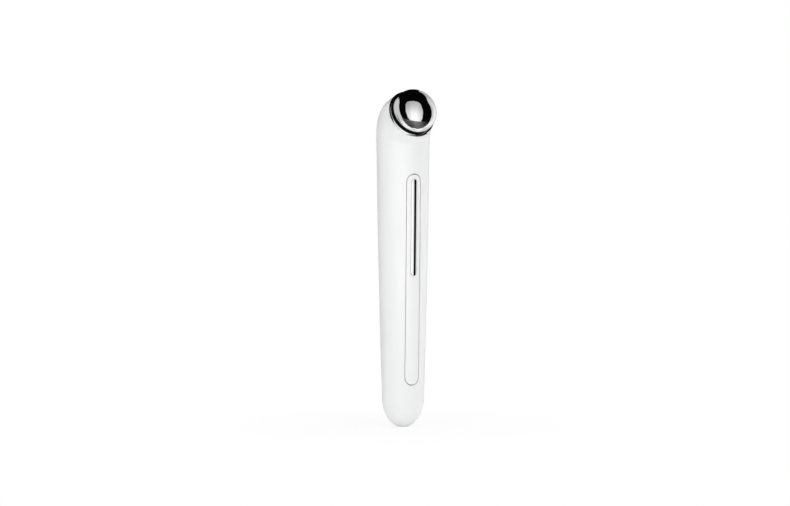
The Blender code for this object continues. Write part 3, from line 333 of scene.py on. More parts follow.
def filmFinish(name, look):
    f = Finish(name)
    rings = f.add("TexWave", {"wave_type": "RINGS", "rings_direction": "SPHERICAL"},
                  {"Vector": f.place(), **look["rings"]})
    tone = f.noise(*look["tone"])
    return f.set(colour=f.blend(rings * 0.6 + tone * 0.2, look["dark"], look["pale"]),
                 roughness=look["rough"] + tone * 0.2, normal=f.bump(rings, *look["bump"]))


redLook = {
    "dark": (0.45, 0.02, 0.02), "pale": (0.62, 0.05, 0.04), "rough": 0.38, "tone": (350.0, 3.0),
    "lay": (1800.0, 2.0, 0.5, (1, 1, 0.3)), "bump": (0.2, 0.03 * mm),
}
blackLook = dict(redLook, dark=(0.02, 0.02, 0.02), pale=(0.06, 0.06, 0.06))


def leadFinish(name, look):
    f = Finish(name)
    tone = f.noise(*look["tone"])
    lay = f.noise(*look["lay"])
    return f.set(colour=f.blend(tone, look["dark"], look["pale"]), roughness=look["rough"] + lay * 0.15,
                 normal=f.bump(lay, *look["bump"]))


shellWhite = whiteShellFinish("shellWhite", shellLook)
keyWhite = whiteShellFinish("keyWhite", keyLook)
domeChrome = chromeFinish("domeChrome", chromeLook)
ringChrome = chromeFinish("ringChrome", ringLook)
barChrome = chromeFinish("barChrome", barLook)
sealRubber = rubberFinish("sealRubber", sealGrooveShadeLook)
bootRubber = rubberFinish("bootRubber", bootLook)
framePlastic = mouldedFinish("framePlastic", frameLook)
holderPlastic = mouldedFinish("holderPlastic", holderLook)
chipPlastic = mouldedFinish("chipPlastic", chipLook)
boardGreen = boardFinish("boardGreen", boardLook)
drawnSteel = drawnMetalFinish("drawnSteel", steelLook)
sinteredBrass = drawnMetalFinish("sinteredBrass", brassLook)
contactGold = drawnMetalFinish("contactGold", goldLook)
cellWrap = wrapFinish("cellWrap", wrapLook)
foamGrey = foamFinish("foamGrey", foamLook)
heaterFilm = filmFinish("heaterFilm", filmLook)
redLead = leadFinish("redLead", redLook)
blackLead = leadFinish("blackLead", blackLook)

nodeFinishes = {
    "key_hinge_pin": drawnSteel, "main_board": boardGreen, "switch_body": chipPlastic,
    "switch_plunger": framePlastic, "control_chip": chipPlastic, "charge_chip": chipPlastic,
    "boost_coil": chipPlastic, "chassis_screw_low": drawnSteel, "chassis_screw_high": drawnSteel,
    "board_screw_low": drawnSteel, "board_screw_high": drawnSteel, "battery_cell": cellWrap,
    "battery_pad": foamGrey, "motor_can": drawnSteel, "motor_boot": bootRubber,
    "motor_shaft": drawnSteel, "eccentric_weight": sinteredBrass, "charging_board": boardGreen,
    "chassis": framePlastic, "head_holder": holderPlastic, "heater_disc": heaterFilm,
    "thermistor": chipPlastic, "head_screw_left": drawnSteel, "head_screw_right": drawnSteel,
    "heater_lead_a": redLead, "heater_lead_b": blackLead, "motor_lead_a": redLead,
    "motor_lead_b": blackLead, "socket_lead_a": redLead, "socket_lead_b": blackLead,
    "cell_lead_high": redLead, "cell_lead_low": blackLead,
    "front_shell": shellWhite, "rear_shell": shellWhite, "key_panel": keyWhite,
    "key_bar": barChrome, "socket_shell": drawnSteel, "socket_core": chipPlastic,
    "head_base_ring": ringChrome, "collar_seal": sealRubber, "head_collar_ring": ringChrome,
    "massage_dome": domeChrome,
}
for nodeName, material in nodeFinishes.items():
    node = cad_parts[nodeName]
    for slot in node.material_slots:
        slot.material = material
print("finishes made:", len(nodeFinishes), "nodes dressed")


# the outer form of the wand: an oval that tapers downwards, with a round lower end,
# and a neck that turns into the tilted round mouth

wandForm = {
    "widthTop": 24.5 * mm, "depthTop": 20.3 * mm, "widthLow": 19.5 * mm, "depthLow": 16.2 * mm,
    "taperTop": 130 * mm, "taperPower": 1.5, "endHeight": 13.5 * mm, "endCut": 0.5 * mm,
    "neckStart": 116 * mm, "wall": 1.4 * mm, "seamY": 1.2 * mm, "seamGap": 0.12 * mm,
    "headTilt": 30.0, "mouthHeight": 140 * mm, "mouthReach": 7.9 * mm, "mouthRadius": 10.8 * mm,
    "mouthDraft": 14.0, "frontPullLow": 12 * mm, "rearPullLow": 22 * mm,
    "frontPullMouth": 6 * mm, "rearPullMouth": 14 * mm,
    "neckSlopeFrom": 6 / 7,  # the neck starts with the slope that the sides have above this share
    "around": 176, "endRows": 22, "sideRows": 44, "neckRows": 60,
    "edge": 0.1 * mm, "edgeSteps": 2, "edgeCorner": 50.0,
}
headTilt = math.radians(wandForm["headTilt"])
headOut = Vector((0, -math.cos(headTilt), math.sin(headTilt)))
headDown = Vector((0, -math.sin(headTilt), -math.cos(headTilt)))
mouthCentre = Vector((0, -wandForm["mouthReach"], wandForm["mouthHeight"]))
endCentre = wandForm["endHeight"] - wandForm["endCut"]


def halfSizes(z):
    drop = max(0.0, wandForm["taperTop"] - z) / (wandForm["taperTop"] - endCentre)
    share = drop ** wandForm["taperPower"]
    wide = wandForm["widthTop"] - (wandForm["widthTop"] - wandForm["widthLow"]) * share
    deep = wandForm["depthTop"] - (wandForm["depthTop"] - wandForm["depthLow"]) * share
    return wide / 2, deep / 2


def frontY(x, z):
    wide, deep = halfSizes(z)
    return -deep * math.sqrt(1 - (x / wide) ** 2)


def skinRings(form):
    count = form["around"]
    angles = [math.tau * i / count for i in range(count)]

    def oval(wide, deep, z):
        return [Vector((wide * math.sin(a), -deep * math.cos(a), z)) for a in angles]

    rings = []
    steepest = math.asin(endCentre / form["endHeight"])
    wide, deep = halfSizes(endCentre)
    for row in range(form["endRows"]):
        angle = steepest * (1 - row / form["endRows"])
        rings.append(oval(wide * math.cos(angle), deep * math.cos(angle),
                          endCentre - form["endHeight"] * math.sin(angle)))
    for row in range(form["sideRows"] + 1):
        z = endCentre + (form["neckStart"] - endCentre) * row / form["sideRows"]
        rings.append(oval(*halfSizes(z), z))
    low = rings[-1]
    below = endCentre + (form["neckStart"] - endCentre) * form["neckSlopeFrom"]
    step = form["neckStart"] - below
    wideSlope = (halfSizes(form["neckStart"])[0] - halfSizes(below)[0]) / step
    deepSlope = (halfSizes(form["neckStart"])[1] - halfSizes(below)[1]) / step
    draft = math.radians(form["mouthDraft"])
    for row in range(1, form["neckRows"] + 1):
        t = row / form["neckRows"]
        ring = []
        for a, start in zip(angles, low):
            rear = (1 - math.cos(a)) / 2
            pullLow = form["frontPullLow"] + (form["rearPullLow"] - form["frontPullLow"]) * rear
            pullMouth = form["frontPullMouth"] + (form["rearPullMouth"] - form["frontPullMouth"]) * rear
            spoke = Vector((1, 0, 0)) * math.sin(a) + headDown * math.cos(a)
            rising = Vector((wideSlope * math.sin(a), -deepSlope * math.cos(a), 1))
            arriving = headOut * math.cos(draft) - spoke * math.sin(draft)
            end = mouthCentre + spoke * form["mouthRadius"]
            one = start + rising * pullLow
            two = end - arriving * pullMouth
            ring.append(start * (1 - t) ** 3 + one * (3 * (1 - t) ** 2 * t)
                        + two * (3 * (1 - t) * t * t) + end * t ** 3)
        rings.append(ring)
    return rings


def addPiece(name, mesh, finish, body, replaced=(), sharp=30.0):
    mesh.materials.append(finish)
    mesh.shade_smooth()
    mesh.set_sharp_from_angle(angle=math.radians(sharp))
    piece = bpy.data.objects.new(name, mesh)
    bpy.context.scene.collection.objects.link(piece)
    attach(piece, body)
    if replaced:
        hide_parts(*replaced)
    return piece


def helperShape(name, mesh):
    # a cutting shape: never shown, never rendered
    shape = bpy.data.objects.new(name, mesh)
    bpy.context.scene.collection.objects.link(shape)
    shape.hide_render = True
    shape.display_type = "WIRE"
    return shape


def meshOf(name, build):
    mesh = bpy.data.meshes.new(name)
    bm = bmesh.new()
    build(bm)
    bmesh.ops.recalc_face_normals(bm, faces=bm.faces)
    bm.to_mesh(mesh)
    bm.free()
    return mesh


def stitch(bm, rows, closedAround=True):
    count = len(rows[0])
    for low, high in zip(rows, rows[1:]):
        for i in range(count if closedAround else count - 1):
            j = (i + 1) % count
            bm.faces.new((low[i], low[j], high[j], high[i]))


def skinHalf(name, form, keepFront):
    def build(bm):
        rows = [[bm.verts.new(p) for p in ring] for ring in skinRings(form)]
        stitch(bm, rows)
        bm.faces.new(list(reversed(rows[0])))
        y = form["seamY"] + form["seamGap"] / 2 * (-1 if keepFront else 1)
        geometry = bm.verts[:] + bm.edges[:] + bm.faces[:]
        bmesh.ops.bisect_plane(bm, geom=geometry, dist=nearEnough, plane_co=(0, y, 0),
                               plane_no=(0, 1, 0), clear_outer=keepFront, clear_inner=not keepFront)
    return meshOf(name, build)


def thicken(piece, form):
    solid = piece.modifiers.new("wall", "SOLIDIFY")
    solid.thickness = form["wall"]
    solid.offset = -1.0
    solid.use_even_offset = True
    soften = piece.modifiers.new("softEdge", "BEVEL")
    soften.width = form["edge"]
    soften.segments = form["edgeSteps"]
    soften.limit_method = "ANGLE"
    soften.angle_limit = math.radians(form["edgeCorner"])


def cutAway(piece, shape):
    boolean = piece.modifiers.new("cut" + shape.name, "BOOLEAN")
    boolean.operation = "DIFFERENCE"
    boolean.solver = "EXACT"
    boolean.object = shape


# long shapes with round ends that follow the wand's front

def capsuleLevels(half, zLow, zHigh, arc, straight):
    quarter = [math.pi / 2 * i / arc for i in range(1, arc + 1)]
    ends = [(zLow + half * (1 - math.cos(a)), math.sin(a)) for a in quarter]
    middle = [(zLow + half + (zHigh - zLow - 2 * half) * i / straight, 1.0) for i in range(1, straight)]
    tops = [(zHigh - half * (1 - math.cos(a)), math.sin(a)) for a in reversed(quarter)]
    return ends + middle + tops


def frontPlug(name, half, zLow, zHigh, layers, columns=10, arc=10, straight=46, crown=0.0, shift=0.0):
    # layers go from the outside in: (how much wider than half, how deep below the surface)
    def build(bm):
        def outline(grow, depth):
            levels = capsuleLevels(half + grow, zLow - grow, zHigh + grow, arc, straight)
            side = [(z, (half + grow) * share) for z, share in levels]
            points = [(0.0, zLow - grow)] + [(x, z) for z, x in side] + [(0.0, zHigh + grow)]
            points += [(-x, z) for z, x in reversed(side)]
            return [Vector((x, frontY(x, z) + depth, z)) for x, z in points]

        rings = [[bm.verts.new(p) for p in outline(*layer)] for layer in layers]
        stitch(bm, rings)
        count = len(rings[0])
        rungs = count // 2 - 1
        for ring, (grow, depth) in ((rings[0], layers[0]), (rings[-1], layers[-1])):
            rows = []
            for r in range(1, rungs + 1):
                right, left = ring[r], ring[count - r]
                row = [left]
                for c in range(1, columns):
                    x = left.co.x + (right.co.x - left.co.x) * c / columns
                    z = right.co.z
                    share = x / (half + grow)
                    lift = crown * (1 - share * share)
                    row.append(bm.verts.new((x, frontY(x, z) + depth - lift, z)))
                rows.append(row + [right])
            stitch(bm, rows, closedAround=False)
            for tip, row in ((ring[0], rows[0]), (ring[count // 2], rows[-1])):
                for a, b in zip(row, row[1:]):
                    bm.faces.new((tip, a, b))
        bmesh.ops.translate(bm, vec=(shift, 0, 0), verts=bm.verts)
    return meshOf(name, build)


keyValues = {
    "half": 3.5 * mm, "low": 19.1 * mm, "high": 113.4 * mm,
    "gap": 0.32 * mm, "thick": 1.2 * mm, "round": 0.1 * mm, "roundAngles": (0, 30, 60, 90),
    "flare": 0.14 * mm, "outside": 0.6 * mm, "through": 4 * mm,  # of the shape that cuts its opening
    "columns": 16,
}
barValues = {
    "half": 1.5 * mm, "low": 68.0 * mm, "high": 111.1 * mm, "gap": 0.045 * mm,
    "rise": 0.34 * mm, "edge": 0.02 * mm, "deep": 0.5 * mm, "shift": 0.12 * mm,
    "edgeIn": 0.03 * mm, "edgeDown": 0.02 * mm, "columns": 24, "arc": 14, "corner": 45.0,
    # the recess: (wider than the bar and its gap, depth)
    "recess": ((0.05 * mm, -0.5 * mm), (0.03 * mm, 0.0), (0.0, 0.05 * mm), (0.0, 0.7 * mm)),
}


def keyEdge(sign, values):
    # the rounded edge of the panel, or with sign 1 of its opening
    r = values["round"]
    base = sign * values["gap"] / 2
    angles = [math.radians(a) for a in values["roundAngles"]]
    arc = [(base + sign * r * (1 - math.sin(a)), r * (1 - math.cos(a))) for a in angles]
    if sign > 0:
        return [(base + values["flare"], -values["outside"])] + arc + [(base, values["through"])]
    return arc + [(base, values["thick"])]


# shell halves

frontShell = addPiece("frontShell", skinHalf("frontShell", wandForm, True), shellWhite, "handle",
                      ("front_shell",))
thicken(frontShell, wandForm)
keyOpening = helperShape("keyOpening", frontPlug("keyOpening", keyValues["half"], keyValues["low"],
                                                 keyValues["high"], keyEdge(1, keyValues)))
cutAway(frontShell, keyOpening)

rearShell = addPiece("rearShell", skinHalf("rearShell", wandForm, False), shellWhite, "handle",
                     ("rear_shell",))
thicken(rearShell, wandForm)

socketValues = {
    "wide": 8.94 * mm, "high": 3.26 * mm, "z": 24.0 * mm, "mouth": 7.2 * mm, "long": 6.8 * mm,
    "skin": 0.3 * mm, "gap": 0.18 * mm, "round": 0.25 * mm, "mouthFrom": 1.5 * mm,
    "mouthEdge": ((0, -1.6), (0.25, -0.9), (1.1, -0.2), (3.0, 1.2)),  # (wider, further out) in rounds
    "rim": (0.16 * mm, 0.1 * mm),        # (narrower than the outside, deeper than the mouth)
    "innerRim": (0.14 * mm, 0.12 * mm),  # (wider than the inside, deeper than the mouth)
    "coreGap": 0.05 * mm, "coreFrom": 0.3 * mm, "coreLong": 1.4 * mm, "coreEdge": (0.2 * mm, 0.1 * mm),
    "tongueWide": 6.7 * mm, "tongueHigh": 0.7 * mm, "tongueLong": 4.5 * mm, "tongueCorner": 0.12 * mm,
    "tip": (0.25, 0.4, 0.3 * mm),  # narrower and lower in half heights, and how long
    # of a contact: share of the pitch, and of the tongue's width, length and place along it
    "contacts": 10, "contactWide": 0.5, "contactSpan": 0.84, "contactLong": 0.8, "contactAt": 0.44,
    "contactThick": 0.05 * mm,
}


def capsuleRing(wide, high, y, z, steps=14):
    r = high / 2
    points = []
    for centre, start in ((wide / 2 - r, -90), (-wide / 2 + r, 90)):
        for i in range(steps + 1):
            a = math.radians(start + 180 * i / steps)
            points.append(Vector((centre + r * math.cos(a), y, z + r * math.sin(a))))
    return points


def capsuleLoft(name, layers, z, closeEnds=True, loop=False):
    # layers of (width, height, y), stitched one after the other
    def build(bm):
        rows = [[bm.verts.new(p) for p in capsuleRing(w, h, y, z)] for w, h, y in layers]
        stitch(bm, rows + ([rows[0]] if loop else []))
        if closeEnds:
            bm.faces.new(rows[0])
            bm.faces.new(rows[-1])
    return meshOf(name, build)


def socketMouthLayers(v):
    # follows the rear of the shell: straight inside, opening out in a small round edge
    wide, high = v["wide"] + 2 * v["gap"], v["high"] + 2 * v["gap"]
    outer = halfSizes(v["z"])[1]
    return [(wide, high, v["mouthFrom"])] + [
        (wide + wider * v["round"], high + wider * v["round"], outer + further * v["round"])
        for wider, further in v["mouthEdge"]]


socketOpening = helperShape("socketOpening", capsuleLoft("socketOpening", socketMouthLayers(socketValues),
                                                         socketValues["z"]))
cutAway(rearShell, socketOpening)
print("shell halves made")


# key panel with the chrome bar let into it

keyPanel = addPiece("keyPanel", frontPlug("keyPanel", keyValues["half"], keyValues["low"],
                                          keyValues["high"], keyEdge(-1, keyValues),
                                          columns=keyValues["columns"]),
                    keyWhite, "key", ("key_panel",))
barRecess = helperShape("barRecess", frontPlug(
    "barRecess", barValues["half"], barValues["low"], barValues["high"],
    [(barValues["gap"] + wider, depth) for wider, depth in barValues["recess"]],
    shift=barValues["shift"]))
cutAway(keyPanel, barRecess)

addPiece("keyBar", frontPlug(
    "keyBar", barValues["half"], barValues["low"], barValues["high"],
    [(-barValues["edgeIn"], barValues["edge"] - barValues["edgeIn"]),
     (0.0, barValues["edge"] + barValues["edgeDown"]), (0.0, barValues["deep"])],
    columns=barValues["columns"], arc=barValues["arc"], crown=barValues["rise"],
    shift=barValues["shift"]),
    barChrome, "key", ("key_bar",), sharp=barValues["corner"])
print("key panel and bar made")


# head: everything is turned about the head axis, as (radius, height above the mouth)

headValues = {
    "steps": 176, "bore": 9.4 * mm, "sleeve": 9.1 * mm, "throat": 8.45 * mm, "sleeveLow": -2.0 * mm,
    "baseRadius": 11.2 * mm, "baseLow": 0.02 * mm, "baseHigh": 0.65 * mm, "baseSlope": 0.5 * mm,
    "sealRadius": 9.75 * mm, "sealLow": 0.7 * mm, "sealHigh": 2.31 * mm,
    "lipRadius": 10.02 * mm, "lipLow": 2.35 * mm, "lipHigh": 3.0 * mm,
    "domeRadius": 10.05 * mm, "domeHigh": 7.8 * mm, "domeBase": 3.25 * mm, "domeFoot": 3.04 * mm,
    "skirtRadius": 8.1 * mm, "skirtWall": 0.8 * mm, "crown": 1.2 * mm,
    "flangeHigh": -2.3 * mm, "flangeLow": -3.1 * mm,
    # how round each corner of a profile is, in the order of its points
    "baseRounds": (0, 0.05 * mm, 0.06 * mm, 0.12 * mm, 0), "sealRounds": (0, 0.2 * mm, 0.2 * mm, 0),
    "lipRounds": (0, 0.04 * mm, 0.1 * mm, 0, 0, 0), "footRound": 0.1 * mm,
}


def headMatrix():
    return Matrix.Translation(mouthCentre) @ Matrix.Rotation(math.radians(90) - headTilt, 4, "X")


def turnedPiece(name, profile, finish, replaced, closed=True, sharp=32.0):
    steps = headValues["steps"]

    def build(bm):
        rows = []
        for r, h in profile:
            if r < nearEnough:
                rows.append([bm.verts.new((0, 0, h))])
            else:
                rows.append([bm.verts.new((r * math.cos(math.tau * i / steps),
                                           r * math.sin(math.tau * i / steps), h)) for i in range(steps)])
        pairs = list(zip(rows, rows[1:])) + ([(rows[-1], rows[0])] if closed else [])
        for low, high in pairs:
            for i in range(steps):
                j = (i + 1) % steps
                if len(low) == 1:
                    bm.faces.new((low[0], high[i], high[j]))
                elif len(high) == 1:
                    bm.faces.new((low[i], low[j], high[0]))
                else:
                    bm.faces.new((low[i], low[j], high[j], high[i]))
        bmesh.ops.transform(bm, matrix=headMatrix(), verts=bm.verts)
    return addPiece(name, meshOf(name, build), finish, "handle", replaced, sharp)


def fillet(corner, before, after, radius, steps=7):
    # a rounded corner between two straight runs of a profile
    corner, before, after = Vector(corner), Vector(before), Vector(after)
    one = corner + (before - corner).normalized() * radius
    two = corner + (after - corner).normalized() * radius
    return [tuple(one * (1 - t) ** 2 + corner * (2 * t * (1 - t)) + two * t * t)
            for t in [i / steps for i in range(steps + 1)]]


def rounded(points, radii):
    profile = []
    count = len(points)
    for i, (point, radius) in enumerate(zip(points, radii)):
        if radius:
            profile += fillet(point, points[i - 1], points[(i + 1) % count], radius)
        else:
            profile.append(point)
    return profile


def baseRingProfile(h):
    return rounded([(h["bore"], h["baseLow"]), (h["baseRadius"], h["baseLow"]),
                    (h["baseRadius"], h["baseHigh"] - h["baseSlope"]),
                    (h["baseRadius"] - h["baseSlope"], h["baseHigh"]), (h["bore"], h["baseHigh"])],
                   h["baseRounds"])


def sealProfile(h):
    return rounded([(h["bore"], h["sealLow"]), (h["sealRadius"], h["sealLow"]),
                    (h["sealRadius"], h["sealHigh"]), (h["bore"], h["sealHigh"])], h["sealRounds"])


def collarProfile(h):
    # the lip that shows, with the sleeve that goes down into the mouth
    return rounded([(h["throat"], h["lipHigh"]), (h["lipRadius"], h["lipHigh"]),
                    (h["lipRadius"], h["lipLow"]), (h["sleeve"], h["lipLow"]),
                    (h["sleeve"], h["sleeveLow"]), (h["throat"], h["sleeveLow"])], h["lipRounds"])


def domeProfile(h, rows=52, innerRows=10):
    # from the apex down the outside, round the foot, down the skirt and back up inside
    def arc(radius, rise, count):
        angles = [math.pi / 2 * i / count for i in range(count + 1)]
        return [(radius * math.sin(a) if a else 0.0, h["domeBase"] + rise * math.cos(a)) for a in angles]

    inner = h["skirtRadius"] - h["skirtWall"]
    foot = fillet((h["domeRadius"], h["domeFoot"]), (h["domeRadius"], h["domeBase"]),
                  (h["skirtRadius"], h["domeFoot"]), h["footRound"])
    flange = [(h["skirtRadius"], h["domeFoot"]), (h["skirtRadius"], h["flangeHigh"]),
              (h["sleeve"], h["flangeHigh"]), (h["sleeve"], h["flangeLow"]), (inner, h["flangeLow"])]
    return (arc(h["domeRadius"], h["domeHigh"], rows) + foot + flange
            + list(reversed(arc(inner, h["domeHigh"] - h["crown"], innerRows))))


turnedPiece("headBaseRing", baseRingProfile(headValues), ringChrome, ("head_base_ring",))
# the seal's near-black colour is partly painted shade of the groove between the base ring and the lip
turnedPiece("collarSeal", sealProfile(headValues), sealRubber, ("collar_seal",))
turnedPiece("headCollarRing", collarProfile(headValues), ringChrome, ("head_collar_ring",))
turnedPiece("massageDome", domeProfile(headValues), domeChrome, ("massage_dome",),
            closed=False)
print("head made")


# charging socket in the rear

def socketShellLayers(v):
    # up the outside, over the rim and back down inside
    back = v["mouth"] - v["long"]
    inWide, inHigh = v["wide"] - 2 * v["skin"], v["high"] - 2 * v["skin"]
    narrower, deeper = v["rim"]
    innerWider, innerDeeper = v["innerRim"]
    return [(v["wide"], v["high"], back), (v["wide"], v["high"], v["mouth"] - deeper),
            (v["wide"] - narrower, v["high"] - narrower, v["mouth"]),
            (inWide + innerWider, inHigh + innerWider, v["mouth"]),
            (inWide, inHigh, v["mouth"] - innerDeeper), (inWide, inHigh, back)]


addPiece("socketShell", capsuleLoft("socketShell", socketShellLayers(socketValues), socketValues["z"],
                                    closeEnds=False, loop=True),
         drawnSteel, "handle", ("socket_shell",))


def socketCoreMesh(v):
    def build(bm):
        wide = v["wide"] - 2 * (v["skin"] + v["coreGap"])
        high = v["high"] - 2 * (v["skin"] + v["coreGap"])
        low = v["mouth"] - v["long"] + v["coreFrom"]
        tongueLow = low + v["coreLong"]
        narrower, deeper = v["coreEdge"]
        rows = [[bm.verts.new(p) for p in capsuleRing(wide - cut, high - cut, y, v["z"])]
                for cut, y in ((0, low), (0, tongueLow - deeper), (narrower, tongueLow))]
        a, b = v["tongueWide"] / 2, v["tongueHigh"] / 2
        tipNarrower, tipLower, tipLong = v["tip"]
        tip = tongueLow + v["tongueLong"]
        corner = v["tongueCorner"]
        rings = []
        for x, z, y in ((a, b, tongueLow), (a, b, tip - tipLong),
                        (a - tipNarrower * b, b * (1 - tipLower), tip)):
            ring = []
            for sx, sz, start in ((1, 1, 0), (-1, 1, 90), (-1, -1, 180), (1, -1, 270)):
                for t in (math.radians(start + 30 * i) for i in range(4)):
                    ring.append(bm.verts.new((sx * (x - corner) + corner * math.cos(t), y,
                                              v["z"] + sz * (z - corner) + corner * math.sin(t))))
            rings.append(ring)
        for part in (rows, rings):
            stitch(bm, part)
            bm.faces.new(part[0])
            bm.faces.new(part[-1])
    return meshOf("socketCore", build)


addPiece("socketCore", socketCoreMesh(socketValues), chipPlastic, "handle", ("socket_core",))


def contactsMesh(v):
    def build(bm):
        low = v["mouth"] - v["long"] + v["coreFrom"] + v["coreLong"]
        pitch = v["tongueWide"] * v["contactSpan"] / v["contacts"]
        size = (pitch * v["contactWide"], v["tongueLong"] * v["contactLong"], v["contactThick"])
        for face in (-1, 1):
            for i in range(v["contacts"]):
                centre = ((i - (v["contacts"] - 1) / 2) * pitch, low + v["tongueLong"] * v["contactAt"],
                          v["z"] + face * v["tongueHigh"] / 2)
                strip = bmesh.ops.create_cube(bm, size=1.0)["verts"]
                bmesh.ops.scale(bm, vec=size, verts=strip)
                bmesh.ops.translate(bm, vec=centre, verts=strip)
    return meshOf("socketContacts", build)


addPiece("socketContacts", contactsMesh(socketValues), contactGold, "handle")
print("charging socket made")


# studio: floor, world, lamps, and the cards that the chrome mirrors

studioValues = {
    "worldFill": 0.35, "fillTint": (0.99, 0.995, 1.0),  # how the surroundings light the wand
    "floorSize": 40.0, "paper": ((0.94, 0.94, 0.94), (0.955, 0.955, 0.955)), "paperTone": (6.0, 2.0),
    "floorGlow": (0.85, 1.0),   # share of plain white under the wand and far away
    "floorReach": (0.01, 0.1),  # metres between which that share grows
    "lampDistance": 0.75, "lampAim": (0, 0, 0.08),
    "cardEye": (0.0, -0.0125, 0.143),  # the cards are set out as seen from the head
    "cardDistance": 1.95, "layerSpacing": 0.05, "layerLift": 0.001, "cardColumns": 24, "rowStep": 3,
    "cardBlack": ((0.002, 0.002, 0.002), (0.005, 0.005, 0.005)), "blackTone": (5.0, 2.0),
    "glowTone": (3.0, 2.0), "glowDrift": 0.04,
}

lampValues = {  # azimuth, elevation, size in metres, watts
    "frontLamp": (30, 20, (0.35, 0.6), 1.73),
    "lowLamp": (-35, 4, (0.35, 0.3), 1.45),
    "sideLamp": (105, 12, (0.35, 0.6), 1.1),
    "topLamp": (0, 85, (0.7, 0.7), 2.6),
    "rearLamp": (184, 20, (0.3, 0.6), 1.1),
}

# Each row of a card is (elevation, azimuth from, azimuth to) as seen from the head, and a card on a
# higher layer stands before a lower one. A card with no glow is black. up and across are the stops
# (place, grey) of its glow, from straight down to straight up and from left to right
cardValues = {
    "floorInFront": {
        "layer": 0, "rows": ((-84, -65, 100), (-18, -65, 100)), "glow": 1.0,
        "up": ((0.07, 0.55), (0.2, 0.85), (0.27, 1.0)),
        "across": ((0.13, 0.05), (0.25, 0.1), (0.43, 0.12), (0.5, 0.17), (0.6, 0.26), (0.66, 0.25),
                   (0.77, 0.17), (0.86, 0.06), (0.94, 0.01)),
    },
    "paleLeft": {
        "layer": 0, "rows": ((-60, -140, -56), (39, -140, -64)), "glow": 1.0,
        "up": ((0.06, 1.0), (0.16, 0.9), (0.25, 0.62), (0.8, 0.6)),
    },
    "paleRear": {
        "layer": 0, "rows": ((-60, 96, 222), (39, 96, 222)), "glow": 1.0,
        "up": ((0.45, 1.0), (0.52, 0.97), (0.59, 0.82), (0.72, 0.68), (0.79, 0.62)),
        "across": ((0.15, 0.64), (0.35, 0.66), (0.53, 0.7), (0.75, 0.68), (0.83, 0.95), (0.9, 1.0),
                   (0.95, 0.7), (0.99, 0.64)),
    },
    "window": {
        "layer": 1, "rows": ((-29, 16, 34), (-27.5, -8, 48), (-26, -30, 56), (0, -40, 62), (67, -45, 62)),
        "glow": 1.1,
        "up": ((0.44, 1.0), (0.56, 0.93), (0.62, 0.9), (0.72, 0.74), (0.83, 0.575), (0.94, 0.43)),
        "across": ((0.33, 0.7), (0.43, 0.8), (0.51, 1.0), (0.7, 1.0), (0.78, 0.82), (0.84, 0.7),
                   (0.92, 0.58)),
    },
    "blackLeft": {
        "layer": 2, "rows": ((-27, -45, -12), (-21, -61, -17), (-14, -64, -21), (2, -70, -24),
                             (18, -77.5, -29), (34, -90.5, -31), (42, -104, -34), (50, -150, -36),
                             (60, -170, -32), (62.5, -170, -26), (66, -170, -4)),
    },
    "blackRight": {
        "layer": 2, "rows": ((-27, 44, 95), (-14, 49.5, 98.5), (2, 51.5, 102), (18, 55.5, 104),
                             (34, 56.5, 109), (42, 59, 125), (50, 59.5, 150), (56, 53, 180),
                             (60, 45, 180), (62.5, 36, 185), (66, 24, 190)),
    },
    "blackRear": {"layer": 2, "rows": ((39, 108, 258), (66, 54, 324))},
    "blackRearLow": {
        "layer": 2, "rows": ((0, 180, 186), (8, 176, 200), (16, 173, 211), (28, 171, 214),
                             (31, 168, 230), (40, 160, 236)),
    },
    "blackTop": {"layer": 2, "rows": ((65.5, -180, 180), (90, -180, 180))},
    "stand": {"layer": 3, "rows": ((-50, -104, -100), (-10, -106, -101))},
}


def directionFrom(azimuth, elevation=0.0):
    # azimuth 0 is the camera's side of the wand and grows to the picture's right
    turn = math.radians(cameraValues["azimuth"] + azimuth)
    rise = math.radians(elevation)
    return Vector((math.sin(turn) * math.cos(rise), -math.cos(turn) * math.cos(rise), math.sin(rise)))


def seenShare(f):
    # one for what the camera, a mirror or clear plastic sees, and zero for light
    light = f.add("LightPath", out=None)
    camera, glossy, through = (Line(f, light.outputs[n]) for n in
                               ("Is Camera Ray", "Is Glossy Ray", "Is Transmission Ray"))
    return f.add("Math", {"operation": "ADD", "use_clamp": True}, {0: camera + glossy, 1: through})


def makeWorld(values):
    world = bpy.data.worlds.new("studioWorld")
    world.use_nodes = True
    bpy.context.scene.world = world
    world.node_tree.nodes.clear()
    f = Finish("studioWorld", world.node_tree)
    white = f.add("Background", {}, {"Color": (1, 1, 1), "Strength": 1.0})
    fill = f.add("Background", {}, {"Color": values["fillTint"], "Strength": values["worldFill"]})
    mixed = f.add("MixShader", {}, {0: seenShare(f), 1: fill, 2: white})
    f.add("OutputWorld", {}, {"Surface": mixed}, None)


def makeFloor(values):
    mesh = meshOf("studioFloor", lambda bm: bmesh.ops.create_grid(
        bm, x_segments=2, y_segments=2, size=values["floorSize"]))
    floor = bpy.data.objects.new("studioFloor", mesh)
    bpy.context.scene.collection.objects.link(floor)
    f = Finish("floorPaper")
    f.set(colour=f.blend(f.noise(*values["paperTone"]), *values["paper"]), roughness=0.9, specular=0.0)
    radius = f.add("VectorMath", {"operation": "LENGTH"}, {0: f.place()}, 1)
    (low, high), (near, away) = values["floorReach"], values["floorGlow"]
    share = f.add("MapRange", {"interpolation_type": "SMOOTHSTEP"},
                  {0: radius, 1: low, 2: high, 3: near, 4: away})
    white = f.add("Emission", {}, {"Color": (1, 1, 1), "Strength": 1.0})
    mixed = f.add("MixShader", {}, {0: seenShare(f) * share, 1: Line(f, f.shader.outputs[0]), 2: white})
    f.tree.links.new(mixed.socket, f.tree.nodes["Material Output"].inputs["Surface"])
    mesh.materials.append(f.material)


